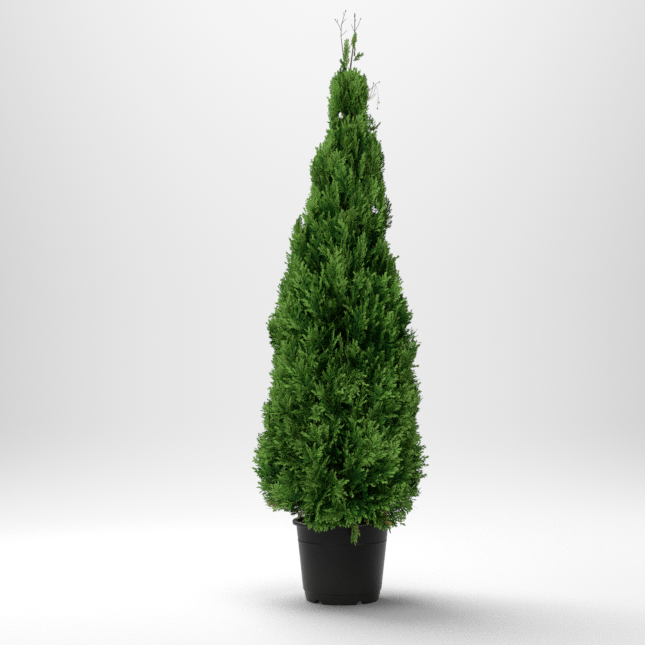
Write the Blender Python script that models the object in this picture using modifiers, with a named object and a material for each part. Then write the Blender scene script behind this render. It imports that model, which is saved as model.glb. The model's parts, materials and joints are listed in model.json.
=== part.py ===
"""Potted emerald green arborvitae, 1.88 m tall.

A narrow cone of upswept foliage stands round one stem, in a round black nursery pot. The foliage is 33
masses in eight tiers and two tufts beside the leaders. Each mass has a stem of its own, a dense inside,
and toothed blades that stand for its flat sprays, each on a stalk that leaves the stem by a seeded rule.
Metres, +Z up. The pot stands on z = 0 with the middle of its underside at the origin. -Y is the front,
+X the right, and bearings are counted from +X towards the back, +Y.
"""

import math
import random

import bmesh
import bpy
from mathutils import Matrix, Vector
from mathutils.bvhtree import BVHTree

UP = Vector((0, 0, 1))
SEAT = 0.0003  # clearance between pieces that touch

# Pot: a round moulded nursery container
POT_HEIGHT = 0.256
POT_SIDES = 40
BASE_RADIUS = 0.1165
STEP_HEIGHT = 0.036  # the foot of the wall is set in below this
STEP_RADIUS = 0.1235
NECK_RADIUS = 0.1465
NECK_HEIGHT = 0.234
RIM_RADIUS = 0.1600
RIM_LIP = 0.003
WALL = 0.0028
FLOOR_HEIGHT = 0.020
FLOOR_THICKNESS = 0.004
HUB_RADIUS = 0.034
FOOT_RING_INSIDE = 0.094
ARCHES = 5
ARCH_BEARING = -60.0
ARCH_WIDTH = 0.032
ARCH_HEIGHT = 0.0135
SLOTS_BETWEEN = 3
SLOT_WIDTH = 0.005
SLOT_HEIGHT = 0.006

# Soil: fills the pot, flat where the stem stands and a little lower at the wall
SOIL_HEIGHT = 0.234
SOIL_FLAT_RADIUS = 0.040
SOIL_SAG = 0.007

# Stem: straight through the crown, swept to the right towards its bare tip
STEM_FOOT = SOIL_HEIGHT + SEAT
STEM_TOP = 1.878
STEM_RADIUS = 0.0150
STEM_TIP_RADIUS = 0.0010
FLARE = 0.0110
FLARE_HEIGHT = 0.022
SWEEP_FROM = 1.30
SWEEP_TO = 1.80
SWEEP = 0.040
STEM_SIDES = 12

# Crown: radius at each height, foot to top, and the places where it bulges or is drawn in
PROFILE = (
    (0.205, 0.185),
    (0.290, 0.240),
    (0.420, 0.270),
    (0.640, 0.250),
    (0.850, 0.238),
    (1.020, 0.198),
    (1.200, 0.157),
    (1.400, 0.125),
    (1.550, 0.082),
    (1.670, 0.060),
    (1.720, 0.024),
)
# bearing, height, growth of the radius, spread in degrees, spread in height
BULGES = (
    (180, 1.49, -0.048, 55, 0.065),
    (180, 1.31, -0.040, 50, 0.070),
    (180, 0.89, 0.014, 40, 0.050),
    (180, 0.72, -0.018, 45, 0.045),
    (180, 0.45, 0.014, 40, 0.060),
    (180, 0.25, -0.065, 70, 0.032),
    (0, 1.45, 0.022, 50, 0.060),
    (0, 1.24, 0.016, 40, 0.045),
    (0, 1.15, -0.022, 45, 0.030),
    (0, 0.82, 0.014, 35, 0.040),
    (0, 0.72, -0.012, 40, 0.035),
    (0, 0.64, 0.012, 35, 0.040),
    (0, 0.28, -0.030, 50, 0.050),
)
# Where the sky shows right through from the front: x, height, radius
WINDOWS = (
    (0.102, 1.236, 0.016),
    (-0.008, 1.553, 0.009),
)

# Limbs that show: the bare second leader, a dry twig at the top right, and a branch over the rim
LEADER_FORK = 1.668
LEADER_TIP = Vector((-0.004, -0.004, 1.800))
DRY_TWIG_FORK = 1.575
DRY_TWIG_TIP = Vector((0.100, -0.028, 1.640))
RIM_BRANCH_FORK = 0.2495
RIM_BRANCH_TIP = Vector((0.150, -0.110, 0.226))
LIMB_START = 0.004  # how far a limb runs level before it bends

# Green tufts beside the leaders: name, bearing, foot on the stem, rise, reach, sprays, length of a spray
TUFTS = (
    ("foliage_leader_left", 225, 1.690, 0.075, 0.026, 5, 0.044),
    ("foliage_leader_right", 285, 1.728, 0.085, 0.012, 4, 0.040),
)
TUFT_STEM_RADIUS = 0.0014
TUFT_TIP_RADIUS = 0.0008

# Foliage masses, tier by tier: name, height of their middles, how many, bearing of the first, sprays on
# each, length of a spray
TIERS = (
    ("skirt", 0.360, 6, 36, 8, 0.155),
    ("hip", 0.545, 6, 6, 6, 0.162),
    ("waist", 0.730, 5, 0, 6, 0.162),
    ("chest", 0.905, 5, 36, 6, 0.156),
    ("shoulder", 1.075, 4, 45, 6, 0.146),
    ("neck", 1.235, 4, 0, 6, 0.130),
    ("collar", 1.385, 3, 30, 7, 0.115),
    ("crest", 1.530, 3, 60, 7, 0.100),
)
COMPASS = ("right", "back_right", "back", "back_left", "left", "front_left", "front", "front_right")
UPSWEEP = 1.05  # rise over run of the planes that part the tiers
TOP_SPACING = 0.19  # the top tier's height
SPACE_MARGIN = 0.0012
LIMB_MARGIN = 0.0015
GOLDEN = (math.sqrt(5) - 1) / 2

SPRAY_ASPECT = 0.64  # width over length
SPRAY_THICKNESS = 0.0022
# A spray's toothed outline past its stalk, up one side and down the other: share of its length, share of
# its half width. The teeth alternate, as the side twigs of a real spray do.
OUTLINE = ((0.42, 0.95), (0.58, 0.42), (1.0, 0.0), (0.80, -0.46), (0.70, -0.90))
WIDEST = (0.42, 0.72)  # shares of its length between which a spray is widest
CORE_SHARE = 0.86  # how far out the dense inside of a mass comes, of the crown's radius
SECTOR_SHARE = 0.92  # of a mass's sector, where its tips lie
FIRST_TURN = 0.40  # how far across that the first of them lies
TIP_REACH = 1.070  # how far out a tip comes at first, of the crown's radius
TIP_DRAW = 0.006  # how much each further try draws it in
INNER_DRAW = 0.06  # how much deeper every third one lies
TRIES = 44
CROSSING_TRIES = 26  # tries that refuse a spray that passes through another
LOWEST_FOOT = 0.262  # where the lowest masses leave the stem
STALK_HALF = 0.0016
STALK_SUNK = 0.004  # how far past the middle of the stem a stalk starts
MASS_STEM_RADIUS = 0.0044
MASS_TIP_RADIUS = 0.0022


def mix(low, high, share):
    return low + (high - low) * share


def bearing_vector(degrees):
    angle = math.radians(degrees)
    return Vector((math.cos(angle), math.sin(angle), 0))


def arc(start, bend, end, count):
    """Points along a bent limb."""
    return [
        start.lerp(bend, n / (count - 1)).lerp(bend.lerp(end, n / (count - 1)), n / (count - 1))
        for n in range(count)
    ]


def material(name, colour, roughness):
    made = bpy.data.materials.new(name)
    made.use_nodes = True
    shader = made.node_tree.nodes["Principled BSDF"]
    shader.inputs["Base Color"].default_value = (*colour, 1)
    shader.inputs["Roughness"].default_value = roughness
    shader.inputs["Metallic"].default_value = 0
    return made


def mesh_object(name, bm, collection):
    """An object of the finished bmesh, which is freed."""
    mesh = bpy.data.meshes.new(name)
    bm.to_mesh(mesh)
    bm.free()
    made = bpy.data.objects.new(name, mesh)
    collection.objects.link(made)
    return made


# Stem and crown as functions of height and bearing


def stem_stations():
    """The stem as (height, x, radius), close together over the root flare and the swept top."""
    heights = [STEM_FOOT + 0.011 * n for n in range(6)]
    heights += [mix(heights[5], SWEEP_FROM, n / 3) for n in (1, 2, 3)]
    heights += [mix(SWEEP_FROM, STEM_TOP, n / 9) for n in range(1, 10)]
    stations = []
    for height in heights:
        share = min(max((height - SWEEP_FROM) / (SWEEP_TO - SWEEP_FROM), 0), 1)
        up = height - STEM_FOOT
        taper = mix(STEM_RADIUS, STEM_TIP_RADIUS, up / (STEM_TOP - STEM_FOOT))
        stations.append((height, SWEEP * share * share, taper + FLARE * math.exp(-up / FLARE_HEIGHT)))
    return stations


STATIONS = stem_stations()


def stem_at(height):
    """The stem's x and radius at the height."""
    height = min(max(height, STEM_FOOT), STEM_TOP)
    for (low, x, radius), (high, next_x, next_radius) in zip(STATIONS, STATIONS[1:]):
        if height <= high:
            share = (height - low) / (high - low)
            return mix(x, next_x, share), mix(radius, next_radius, share)


def stem_axis(height):
    return Vector((stem_at(height)[0], 0, height))


def stem_radius(height):
    return stem_at(height)[1]


def off_bark(height, outward, thick):
    """The middle of a limb's foot: its whole end, of the radius thick, is 0.3 mm clear of the stem."""
    axis = stem_axis(height)
    reach = max(
        (stem_axis(level) - axis).dot(outward) + stem_radius(level)
        for level in (height - thick, height, height + thick)
    )
    return axis + outward * (reach + SEAT)


def crown_radius(bearing, height):
    """How far the crown reaches from the stem's axis."""
    radius = 0.0
    for (low, wide), (high, narrow) in zip(PROFILE, PROFILE[1:]):
        if low <= height <= high:
            radius = mix(wide, narrow, (height - low) / (high - low))
    for middle, level, growth, turn, rise in BULGES:
        off = (bearing - middle + 180) % 360 - 180
        radius += growth * math.exp(-((off / turn) ** 2) - ((height - level) / rise) ** 2)
    return radius


def bearing_of(point):
    return math.degrees(math.atan2(point.y, point.x - stem_axis(point.z).x))


def distance_out(point):
    """Distance from the stem's axis, level with the point."""
    return (point - stem_axis(point.z)).length


class Mass:
    """One mass of foliage: its bearing, its middle and the rule's settings for it."""

    def __init__(self, name, bearing, height, sprays, length, spacing, sector, seed):
        self.name = name
        self.bearing = bearing
        self.outward = bearing_vector(bearing)
        self.reach = crown_radius(bearing, height)
        self.middle = stem_axis(height) + self.outward * self.reach * 0.55
        self.sprays = sprays
        self.length = length
        self.spacing = spacing
        self.sector = sector
        self.seed = seed
        self.neighbours = []

    def holds(self, point):
        """True where the point is in this mass's own space, clear of the stem."""
        axis = stem_axis(point.z)
        if (point - axis).dot(self.outward) < stem_radius(max(point.z, STEM_FOOT)) + LIMB_MARGIN:
            return False
        return all((point - foot).dot(normal) < -SPACE_MARGIN for foot, normal in self.neighbours)


def part_spaces(masses):
    """Gives each mass the planes that part its space from its neighbours'. They slope up and out."""
    for one in masses:
        for other in masses:
            if other is one:
                continue
            apart = other.middle - one.middle
            between = one.outward + other.outward
            lean = between.normalized() * UPSWEEP if between.length > 0.6 else Vector()
            normal = (UP - lean) * apart.z + Vector((apart.x, apart.y, 0))
            one.neighbours.append(((one.middle + other.middle) / 2, normal.normalized()))


def crown_masses():
    masses = []
    for tier, (name, height, count, first, sprays, length) in enumerate(TIERS):
        above = TIERS[tier + 1][1] if tier + 1 < len(TIERS) else height + TOP_SPACING
        sector = 360 / count
        for turn in range(count):
            bearing = first + sector * turn
            label = f"foliage_{name}_{COMPASS[round(bearing / 45) % 8]}"
            seed = 100 * tier + turn
            masses.append(Mass(label, bearing, height, sprays, length, above - height, sector, seed))
    part_spaces(masses)
    return masses


# Growth rule: where a mass's twigs and sprays lie


class Spray:
    """A flat spray on its stalk: where the stalk starts, where the spray ends, and its face's normal."""

    def __init__(self, start, tip, facing, length):
        self.start = start
        self.tip = tip
        self.length = length
        self.heading = (tip - start).normalized()
        self.side = self.heading.cross(facing).normalized()
        self.facing = self.side.cross(self.heading)

    def at(self, along, across, through=0.0):
        return (
            self.tip
            + self.heading * (along - 1) * self.length
            + self.side * across * self.length * SPRAY_ASPECT / 2
            + self.facing * through * SPRAY_THICKNESS / 2
        )

    def outline(self, through):
        foot = self.start - self.heading * STALK_SUNK + self.facing * through * SPRAY_THICKNESS / 2
        stalk = [foot - self.side * STALK_HALF, foot + self.side * STALK_HALF]
        return stalk + [self.at(along, across, through) for along, across in OUTLINE]

    def pierces(self, other):
        """True if an edge of this blade passes through the other."""
        corners = self.outline(0)
        for one, two in zip(corners, corners[1:] + corners[:1]):
            before = (one - other.tip).dot(other.facing)
            after = (two - other.tip).dot(other.facing)
            if before * after < 0:
                off = one.lerp(two, before / (before - after)) - other.tip
                if -0.9 * other.length < off.dot(other.heading) < 0.004:
                    if abs(off.dot(other.side)) < other.length * SPRAY_ASPECT * 0.4:
                        return True
        return False

    def half_width(self, share):
        """Half the blade's breadth at a share of its length, teeth and all. Below 0 is the stalk."""
        widest = self.length * SPRAY_ASPECT / 2
        low, high = WIDEST
        if share < low:
            return mix(STALK_HALF, widest, max(share, 0) / low)
        return widest if share < high else mix(widest, STALK_HALF, min((share - high) / (1 - high), 1))

    def lies_near(self, point, distance):
        """True if the point is within the distance of the blade or its stalk."""
        off = point - self.tip
        along = off.dot(self.heading)
        return (
            -(self.tip - self.start).length - distance < along < distance
            and abs(off.dot(self.side)) < self.half_width(1 + along / self.length) + distance
            and abs(off.dot(self.facing)) < SPRAY_THICKNESS / 2 + distance
        )


def clearings():
    """The sky windows as lines of (point, radius) that foliage keeps out of."""
    return [
        [(Vector((x, n * 0.006, height)), radius) for n in range(-34, 35)] for x, height, radius in WINDOWS
    ]


def in_pot(point):
    return point.z < POT_HEIGHT + 0.004 and math.hypot(point.x, point.y) < RIM_RADIUS + 0.004


def spray_fits(spray, mass, lines):
    """True if the whole spray and its stalk are in the mass's space, clear of the pot and the lines."""
    corners = spray.outline(-1) + spray.outline(1)
    if not all(mass.holds(corner) for corner in corners[2:7] + corners[9:]):
        return False
    reach = (spray.tip - spray.start).length
    stalk = [spray.start + spray.heading * reach * n / 12 for n in range(12)]
    if not all(mass.holds(point - mass.outward * 2 * STALK_HALF) for point in stalk):
        return False
    edge = [one.lerp(two, n / 8) for one, two in zip(corners, corners[1:]) for n in range(8)]
    if any(in_pot(point) for point in edge + stalk):
        return False
    return not any(
        spray.lies_near(point, radius + LIMB_MARGIN) for line in lines for point, radius in line
    )


def mass_stem(mass):
    """The mass's own stem, as points: out of the main stem, then upswept to near its tip."""
    rise = UPSWEEP * mass.reach * 0.55
    foot = max(mass.middle.z - rise, LOWEST_FOOT)
    start = off_bark(foot, mass.outward, MASS_STEM_RADIUS)
    knee = start + mass.outward * mass.reach * 0.28
    end = mass.middle + (mass.outward + UP * UPSWEEP) * mass.reach * 0.16
    return [start] + arc(start + mass.outward * 0.006, knee, end, 4)


def level_range(mass, bearing):
    """The lowest and highest level at which the crown's surface belongs to the mass."""
    levels = []
    for step in range(-40, 60):
        level = mass.middle.z + step * 0.01
        if mass.holds(stem_axis(level) + bearing_vector(bearing) * crown_radius(bearing, level) * 0.92):
            levels.append(level)
    return (levels[0], levels[-1]) if levels else (mass.middle.z, mass.middle.z)


def grow(mass, lines):
    """The mass's stem and its sprays. What would leave the mass's space is skipped."""
    rng = random.Random(mass.seed)
    stem = mass_stem(mass)
    sprays = []
    for shoot in range(mass.sprays):
        share = (shoot + 0.5) / mass.sprays
        for attempt in range(TRIES):
            across = (FIRST_TURN + shoot * GOLDEN + 0.25 * rng.random()) % 1 - 0.5
            turn = across * mass.sector * SECTOR_SHARE
            bearing = mass.bearing + turn
            low, high = level_range(mass, bearing)
            level = mix(low, high, share + rng.uniform(-0.12, 0.12)) + 0.01
            depth = TIP_REACH - TIP_DRAW * attempt - INNER_DRAW * (shoot % 3 == 1)
            outward = bearing_vector(bearing)
            tip = stem_axis(level) + outward * crown_radius(bearing, level) * depth
            joint = stem[rng.choice((2, 3)) if share < 0.6 else 3 + rng.randrange(2)]
            level_side = (tip - joint).cross(UP).normalized()
            facing = level_side * rng.choice((-1, 1)) + outward * rng.uniform(-1.1, 1.1)
            length = min(mass.length * rng.uniform(0.88, 1.14), (tip - joint).length * 1.25)
            length *= 0.985**attempt
            spray = Spray(joint, tip, facing, length)
            crossing = any(spray.pierces(one) or one.pierces(spray) for one in sprays)
            if crossing and attempt < CROSSING_TRIES:
                continue
            if spray_fits(spray, mass, lines):
                sprays.append(spray)
                break
    return stem, sprays


# Solids of a mass


def cone_between(start, end, start_radius, end_radius, sides, collection):
    """A tapering piece of twig with flat ends."""
    bm = bmesh.new()
    along = end - start
    place = Matrix.Translation((start + end) / 2) @ along.to_track_quat("Z", "Y").to_matrix().to_4x4()
    bmesh.ops.create_cone(
        bm,
        cap_ends=True,
        segments=sides,
        radius1=start_radius,
        radius2=end_radius,
        depth=along.length,
        matrix=place,
    )
    return mesh_object("twig", bm, collection)


def tube_through(points, start_radius, end_radius, sides, collection):
    """One closed tapering limb through the points."""
    bm = bmesh.new()
    rings = []
    for number, point in enumerate(points):
        before = points[max(number - 1, 0)]
        after = points[min(number + 1, len(points) - 1)]
        turn = (after - before).to_track_quat("Z", "Y").to_matrix()
        radius = mix(start_radius, end_radius, number / (len(points) - 1))
        ring = bmesh.ops.create_circle(bm, segments=sides, radius=radius)["verts"]
        for corner in ring:
            corner.co = point + turn @ corner.co
        rings.append([edge for edge in bm.edges if edge.verts[0] in ring and edge.verts[1] in ring])
    for low, high in zip(rings, rings[1:]):
        bmesh.ops.bridge_loops(bm, edges=low + high)
    bmesh.ops.contextual_create(bm, geom=rings[0])
    bmesh.ops.contextual_create(bm, geom=rings[-1])
    bmesh.ops.recalc_face_normals(bm, faces=bm.faces)
    return mesh_object("stem", bm, collection)


def blade(spray, collection):
    """The toothed blade that stands for a spray and its stalk."""
    bm = bmesh.new()
    face = bm.faces.new([bm.verts.new(corner) for corner in spray.outline(-1)])
    grown = bmesh.ops.extrude_face_region(bm, geom=[face])["geom"]
    lifted = [part for part in grown if isinstance(part, bmesh.types.BMVert)]
    bmesh.ops.translate(bm, vec=spray.facing * SPRAY_THICKNESS, verts=lifted)
    bmesh.ops.recalc_face_normals(bm, faces=bm.faces)
    return mesh_object("blade", bm, collection)


def face_points(face):
    """Points over a triangle."""
    one, two, three = (corner.co for corner in face.verts)
    return [
        one * (a / 6) + two * (b / 6) + three * ((6 - a - b) / 6) for a in range(7) for b in range(7 - a)
    ]


def shrink_clear(bm, middle, lines):
    """Draws in each face that the pot or a cleared line reaches, until none does."""
    far = max((corner.co - middle).length for corner in bm.verts) + 0.05
    near = [(point, radius) for line in lines for point, radius in line if (point - middle).length < far]
    for _ in range(60):
        bm.faces.ensure_lookup_table()
        tree = BVHTree.FromBMesh(bm)
        reached = {face for face in bm.faces if any(map(in_pot, face_points(face)))}
        for point, radius in near:
            spot, normal, index, distance = tree.find_nearest(point)
            if distance < radius + 0.004 or (point - spot).dot(normal) < 0:
                reached.add(bm.faces[index])
        if not reached:
            return
        for corner in {corner for face in reached for corner in face.verts}:
            corner.co = middle.lerp(corner.co, 0.93)


def pushed_out(start, arm, limit, is_inside):
    """The farthest point from the start along the arm, up to the limit, with all before it inside."""
    steps = 30
    reached = start
    for step in range(1, steps + 1):
        point = start + arm * limit * step / steps
        if not is_inside(point):
            break
        reached = point
    return reached


def core(mass, lines, collection):
    """The dense inside of a mass: a block whose corners are pushed out into the corners of its space."""

    def is_inside(point):
        surface = CORE_SHARE * crown_radius(bearing_of(point), point.z)
        return distance_out(point) < surface and mass.holds(point) and not in_pot(point)

    bm = bmesh.new()
    bmesh.ops.create_cube(bm, size=2)
    bmesh.ops.poke(bm, faces=bm.faces)
    across = UP.cross(mass.outward)
    width = math.tan(math.radians(min(mass.sector, 100) / 2))
    for corner in bm.verts:
        out, side, up = (round(share) for share in corner.co)
        spot = pushed_out(mass.middle, (mass.outward + UP * UPSWEEP) * out, mass.reach * 0.50, is_inside)
        spot = pushed_out(spot, across * side, distance_out(spot) * width, is_inside)
        corner.co = pushed_out(spot, UP * up, mass.spacing * 0.9, is_inside)
    shrink_clear(bm, mass.middle, lines)
    return mesh_object(mass.name, bm, collection)


def largest_shell(mesh):
    """Leaves the mesh its one largest closed shell, so a sealed hollow is filled and a scrap is dropped."""
    bm = bmesh.new()
    bm.from_mesh(mesh)
    bmesh.ops.remove_doubles(bm, verts=bm.verts, dist=1e-6)
    shells, seen = [], set()
    for start in bm.verts:
        if start in seen:
            continue
        shell, ahead = [], [start]
        seen.add(start)
        while ahead:
            corner = ahead.pop()
            shell.append(corner)
            for edge in corner.link_edges:
                other = edge.other_vert(corner)
                if other not in seen:
                    seen.add(other)
                    ahead.append(other)
        shells.append(shell)
    shells.sort(key=len)
    for shell in shells[:-1]:
        bmesh.ops.delete(bm, geom=shell, context="VERTS")
    bm.to_mesh(mesh)
    bm.free()


def fuse(body, parts):
    """One solid of the body and every piece in the parts collection, which is then removed."""
    union = body.modifiers.new("Fuse", "BOOLEAN")
    union.operation = "UNION"
    union.operand_type = "COLLECTION"
    union.collection = parts
    union.solver = "MANIFOLD"
    graph = bpy.context.evaluated_depsgraph_get()
    graph.update()
    body.data = bpy.data.meshes.new_from_object(body.evaluated_get(graph))
    body.modifiers.clear()
    body.data.name = body.name
    largest_shell(body.data)
    for part in list(parts.objects):
        bpy.data.objects.remove(part)
    bpy.data.collections.remove(parts)


def foliage_mass(mass, lines, collection, leaf):
    stem, sprays = grow(mass, lines)
    parts = bpy.data.collections.new("parts of " + mass.name)
    bpy.context.scene.collection.children.link(parts)
    body = core(mass, lines, collection)
    tube_through(stem, MASS_STEM_RADIUS, MASS_TIP_RADIUS, 4, parts)
    for spray in sprays:
        blade(spray, parts)
    fuse(body, parts)
    body.data.materials.append(leaf)


# Pot, soil and limbs


def turned(name, profile, collection, finish):
    """A profile of (radius, height) points, listed down its outer side first, turned about Z."""
    bm = bmesh.new()
    corners = [bm.verts.new((radius, 0, height)) for radius, height in profile]
    for one, two in zip(corners, corners[1:]):
        bm.edges.new((one, two))
    made = mesh_object(name, bm, collection)
    screw = made.modifiers.new("Turn", "SCREW")
    screw.steps = POT_SIDES
    screw.render_steps = POT_SIDES
    screw.use_merge_vertices = True
    screw.merge_threshold = 0.0001
    screw.use_smooth_shade = False
    made.data.materials.append(finish)
    return made


def wall_radius(height):
    """Outer radius of the pot's wall between its step and its neck."""
    return mix(STEP_RADIUS + 0.002, NECK_RADIUS, (height - STEP_HEIGHT) / (NECK_HEIGHT - STEP_HEIGHT))


def pot_profile():
    inner_floor = wall_radius(STEP_HEIGHT) - WALL - 0.006
    return (
        (0, FLOOR_HEIGHT),
        (inner_floor, FLOOR_HEIGHT),
        (wall_radius(STEP_HEIGHT) - WALL, STEP_HEIGHT),
        (NECK_RADIUS - WALL, NECK_HEIGHT),
        (NECK_RADIUS - WALL + 0.002, POT_HEIGHT - 0.004),
        (NECK_RADIUS + 0.001, POT_HEIGHT),
        (RIM_RADIUS - 0.003, POT_HEIGHT),
        (RIM_RADIUS, POT_HEIGHT - 0.003),
        (RIM_RADIUS - 0.001, NECK_HEIGHT + 0.001),
        (RIM_RADIUS - 0.001 - RIM_LIP, NECK_HEIGHT),
        (NECK_RADIUS, NECK_HEIGHT),
        (wall_radius(STEP_HEIGHT), STEP_HEIGHT),
        (STEP_RADIUS - 0.001, STEP_HEIGHT - 0.003),
        (BASE_RADIUS, 0.004),
        (BASE_RADIUS - 0.003, 0),
        (FOOT_RING_INSIDE, 0),
        (FOOT_RING_INSIDE - 0.002, FLOOR_HEIGHT - FLOOR_THICKNESS),
        (HUB_RADIUS + 0.002, FLOOR_HEIGHT - FLOOR_THICKNESS),
        (HUB_RADIUS, 0),
        (0, 0),
    )


def notch_cutter(name, bearing, width, height, sides, collection):
    """A rounded notch through the foot ring, lying along the bearing."""
    bm = bmesh.new()
    inner, outer = FOOT_RING_INSIDE - 0.008, BASE_RADIUS + 0.02
    place = (
        Matrix.Rotation(math.radians(bearing), 4, "Z")
        @ Matrix.Translation(((inner + outer) / 2, 0, -0.0005))
        @ Matrix.Diagonal((1, width / 2, height, 1))
        @ Matrix.Rotation(math.radians(90), 4, "Y")
    )
    bmesh.ops.create_cone(
        bm, cap_ends=True, segments=sides, radius1=1, radius2=1, depth=outer - inner, matrix=place
    )
    made = mesh_object(name, bm, collection)
    made.hide_render = True
    made.display_type = "WIRE"
    return made


def pot(collection, cutters, plastic):
    made = turned("pot", pot_profile(), collection, plastic)
    for number in range(ARCHES):
        bearing = ARCH_BEARING + 360 / ARCHES * number
        notch_cutter(f"arch_{number}", bearing, ARCH_WIDTH, ARCH_HEIGHT, 14, cutters)
        for slot in range(SLOTS_BETWEEN):
            off = 360 / ARCHES * (slot + 1) / (SLOTS_BETWEEN + 1)
            notch_cutter(f"slot_{number}_{slot}", bearing + off, SLOT_WIDTH, SLOT_HEIGHT, 6, cutters)
    cut = made.modifiers.new("Notches", "BOOLEAN")
    cut.operation = "DIFFERENCE"
    cut.operand_type = "COLLECTION"
    cut.collection = cutters
    return made


def soil(collection, peat):
    inner_floor = wall_radius(STEP_HEIGHT) - WALL - 0.006
    wall = mix(
        wall_radius(STEP_HEIGHT),
        NECK_RADIUS,
        (SOIL_HEIGHT - SOIL_SAG - STEP_HEIGHT) / (NECK_HEIGHT - STEP_HEIGHT),
    )
    profile = (
        (0, SOIL_HEIGHT),
        (SOIL_FLAT_RADIUS, SOIL_HEIGHT),
        (0.1, SOIL_HEIGHT - SOIL_SAG * 0.5),
        (wall - WALL - SEAT, SOIL_HEIGHT - SOIL_SAG),
        (wall_radius(STEP_HEIGHT) - WALL - SEAT, STEP_HEIGHT),
        (inner_floor - SEAT, FLOOR_HEIGHT + SEAT),
        (0, FLOOR_HEIGHT + SEAT),
    )
    return turned("soil", profile, collection, peat)


def limb(name, points, radii, collection, bark, resolution=2):
    """A tapering limb through the points, with flat ends."""
    data = bpy.data.curves.new(name, "CURVE")
    data.dimensions = "3D"
    data.bevel_depth = 1.0
    data.bevel_resolution = resolution
    data.use_fill_caps = True
    line = data.splines.new("POLY")
    line.points.add(len(points) - 1)
    for place, point, radius in zip(line.points, points, radii):
        place.co = (*point, 1)
        place.radius = radius
    data.materials.append(bark)
    made = bpy.data.objects.new(name, data)
    collection.objects.link(made)
    return made


def side_limb(fork, tip, bend_out, bend_up, thick, thin, count):
    """A limb from 0.3 mm off the stem at the fork's height to the tip, as points and radii."""
    level = Vector((tip.x - stem_axis(fork).x, tip.y, 0)).normalized()
    start = off_bark(fork, level, thick)
    first = start + level * LIMB_START
    bend = first + level * bend_out + UP * bend_up
    points = [start] + arc(first, bend, tip, count)
    radii = [mix(thick, thin, n / count) for n in range(count + 1)]
    return points, radii


def bare_shoots(start, heading, seed, length, count):
    """Twigs of a bare tip, as (start, end, thick, thin): a bent leading shoot, and side shoots off it."""
    rng = random.Random(seed)
    side = heading.cross(Vector((0, 1, 0))).normalized()
    shoots, place = [], start
    for number in range(count):
        bent = Vector((0, rng.uniform(-0.1, 0.1), 0)) + side * rng.uniform(-0.16, 0.16)
        way = (heading + bent).normalized()
        end = place + way * length / count
        thick, thin = (mix(0.0010, 0.0006, step / count) for step in (number, number + 1))
        shoots.append((place, end, thick, thin))
        if number < count - 1:
            turn = side * (0.62 if number % 2 else -0.62)
            branch = (heading + turn).normalized() * length * mix(0.55, 0.25, number / count)
            shoots.append((end - way * 0.002, end + branch, 0.0007, 0.0005))
        place = end - way * 0.001
    return shoots


def bare_mass(name, start, heading, seed, length, count, collection, bark):
    parts = bpy.data.collections.new("parts of " + name)
    bpy.context.scene.collection.children.link(parts)
    leading, *others = bare_shoots(start, heading.normalized(), seed, length, count)
    body = cone_between(*leading, 3, collection)
    body.name = name
    for shoot in others:
        cone_between(*shoot, 3, parts)
    fuse(body, parts)
    body.data.materials.append(bark)


def tuft_stem(bearing, foot, rise, reach):
    outward = bearing_vector(bearing)
    start = off_bark(foot, outward, TUFT_STEM_RADIUS)
    leaning = [
        stem_axis(foot + rise * share) + outward * (0.006 + reach * share) for share in (0.3, 0.65, 1)
    ]
    return [start, start + outward * 0.003] + leaning


def tuft(name, bearing, foot, rise, reach, count, length, lines, collection, leaf):
    """A small upright mass beside the bare tip of the stem."""
    rng = random.Random(round(foot * 1000))
    outward = bearing_vector(bearing)
    stem = tuft_stem(bearing, foot, rise, reach)
    parts = bpy.data.collections.new("parts of " + name)
    bpy.context.scene.collection.children.link(parts)
    body = tube_through(stem, TUFT_STEM_RADIUS, TUFT_TIP_RADIUS, 4, collection)
    body.name = name
    for number in range(count):
        root = stem[2].lerp(stem[4], number / (count - 1)) - UP * 0.004
        for _ in range(TRIES):
            lean = outward * rng.uniform(0.1, 0.5) + Vector((rng.uniform(-0.45, 0.45), 0, 0))
            heading = (UP + lean).normalized()
            facing = (outward + outward.cross(UP) * rng.uniform(-0.6, 0.6)).normalized()
            tall = length * rng.uniform(0.85, 1.15)
            spray = Spray(root, root + heading * tall, facing, tall)
            corners = spray.outline(-1) + spray.outline(1)
            clear = all(
                (corner - stem_axis(corner.z)).dot(outward) > stem_radius(corner.z) + LIMB_MARGIN
                for corner in corners
            )
            if clear and not any(spray.lies_near(p, r + LIMB_MARGIN) for one in lines for p, r in one):
                blade(spray, parts)
                break
    fuse(body, parts)
    body.data.materials.append(leaf)


def dense_points(points, radii):
    """The limb's axis as close-set (point, radius) pairs, for keeping foliage off it."""
    pairs = []
    for one, two, radius in zip(points, points[1:], radii):
        count = math.ceil((two - one).length / 0.004)
        pairs += [(one.lerp(two, n / count), radius) for n in range(count + 1)]
    return pairs


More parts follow.
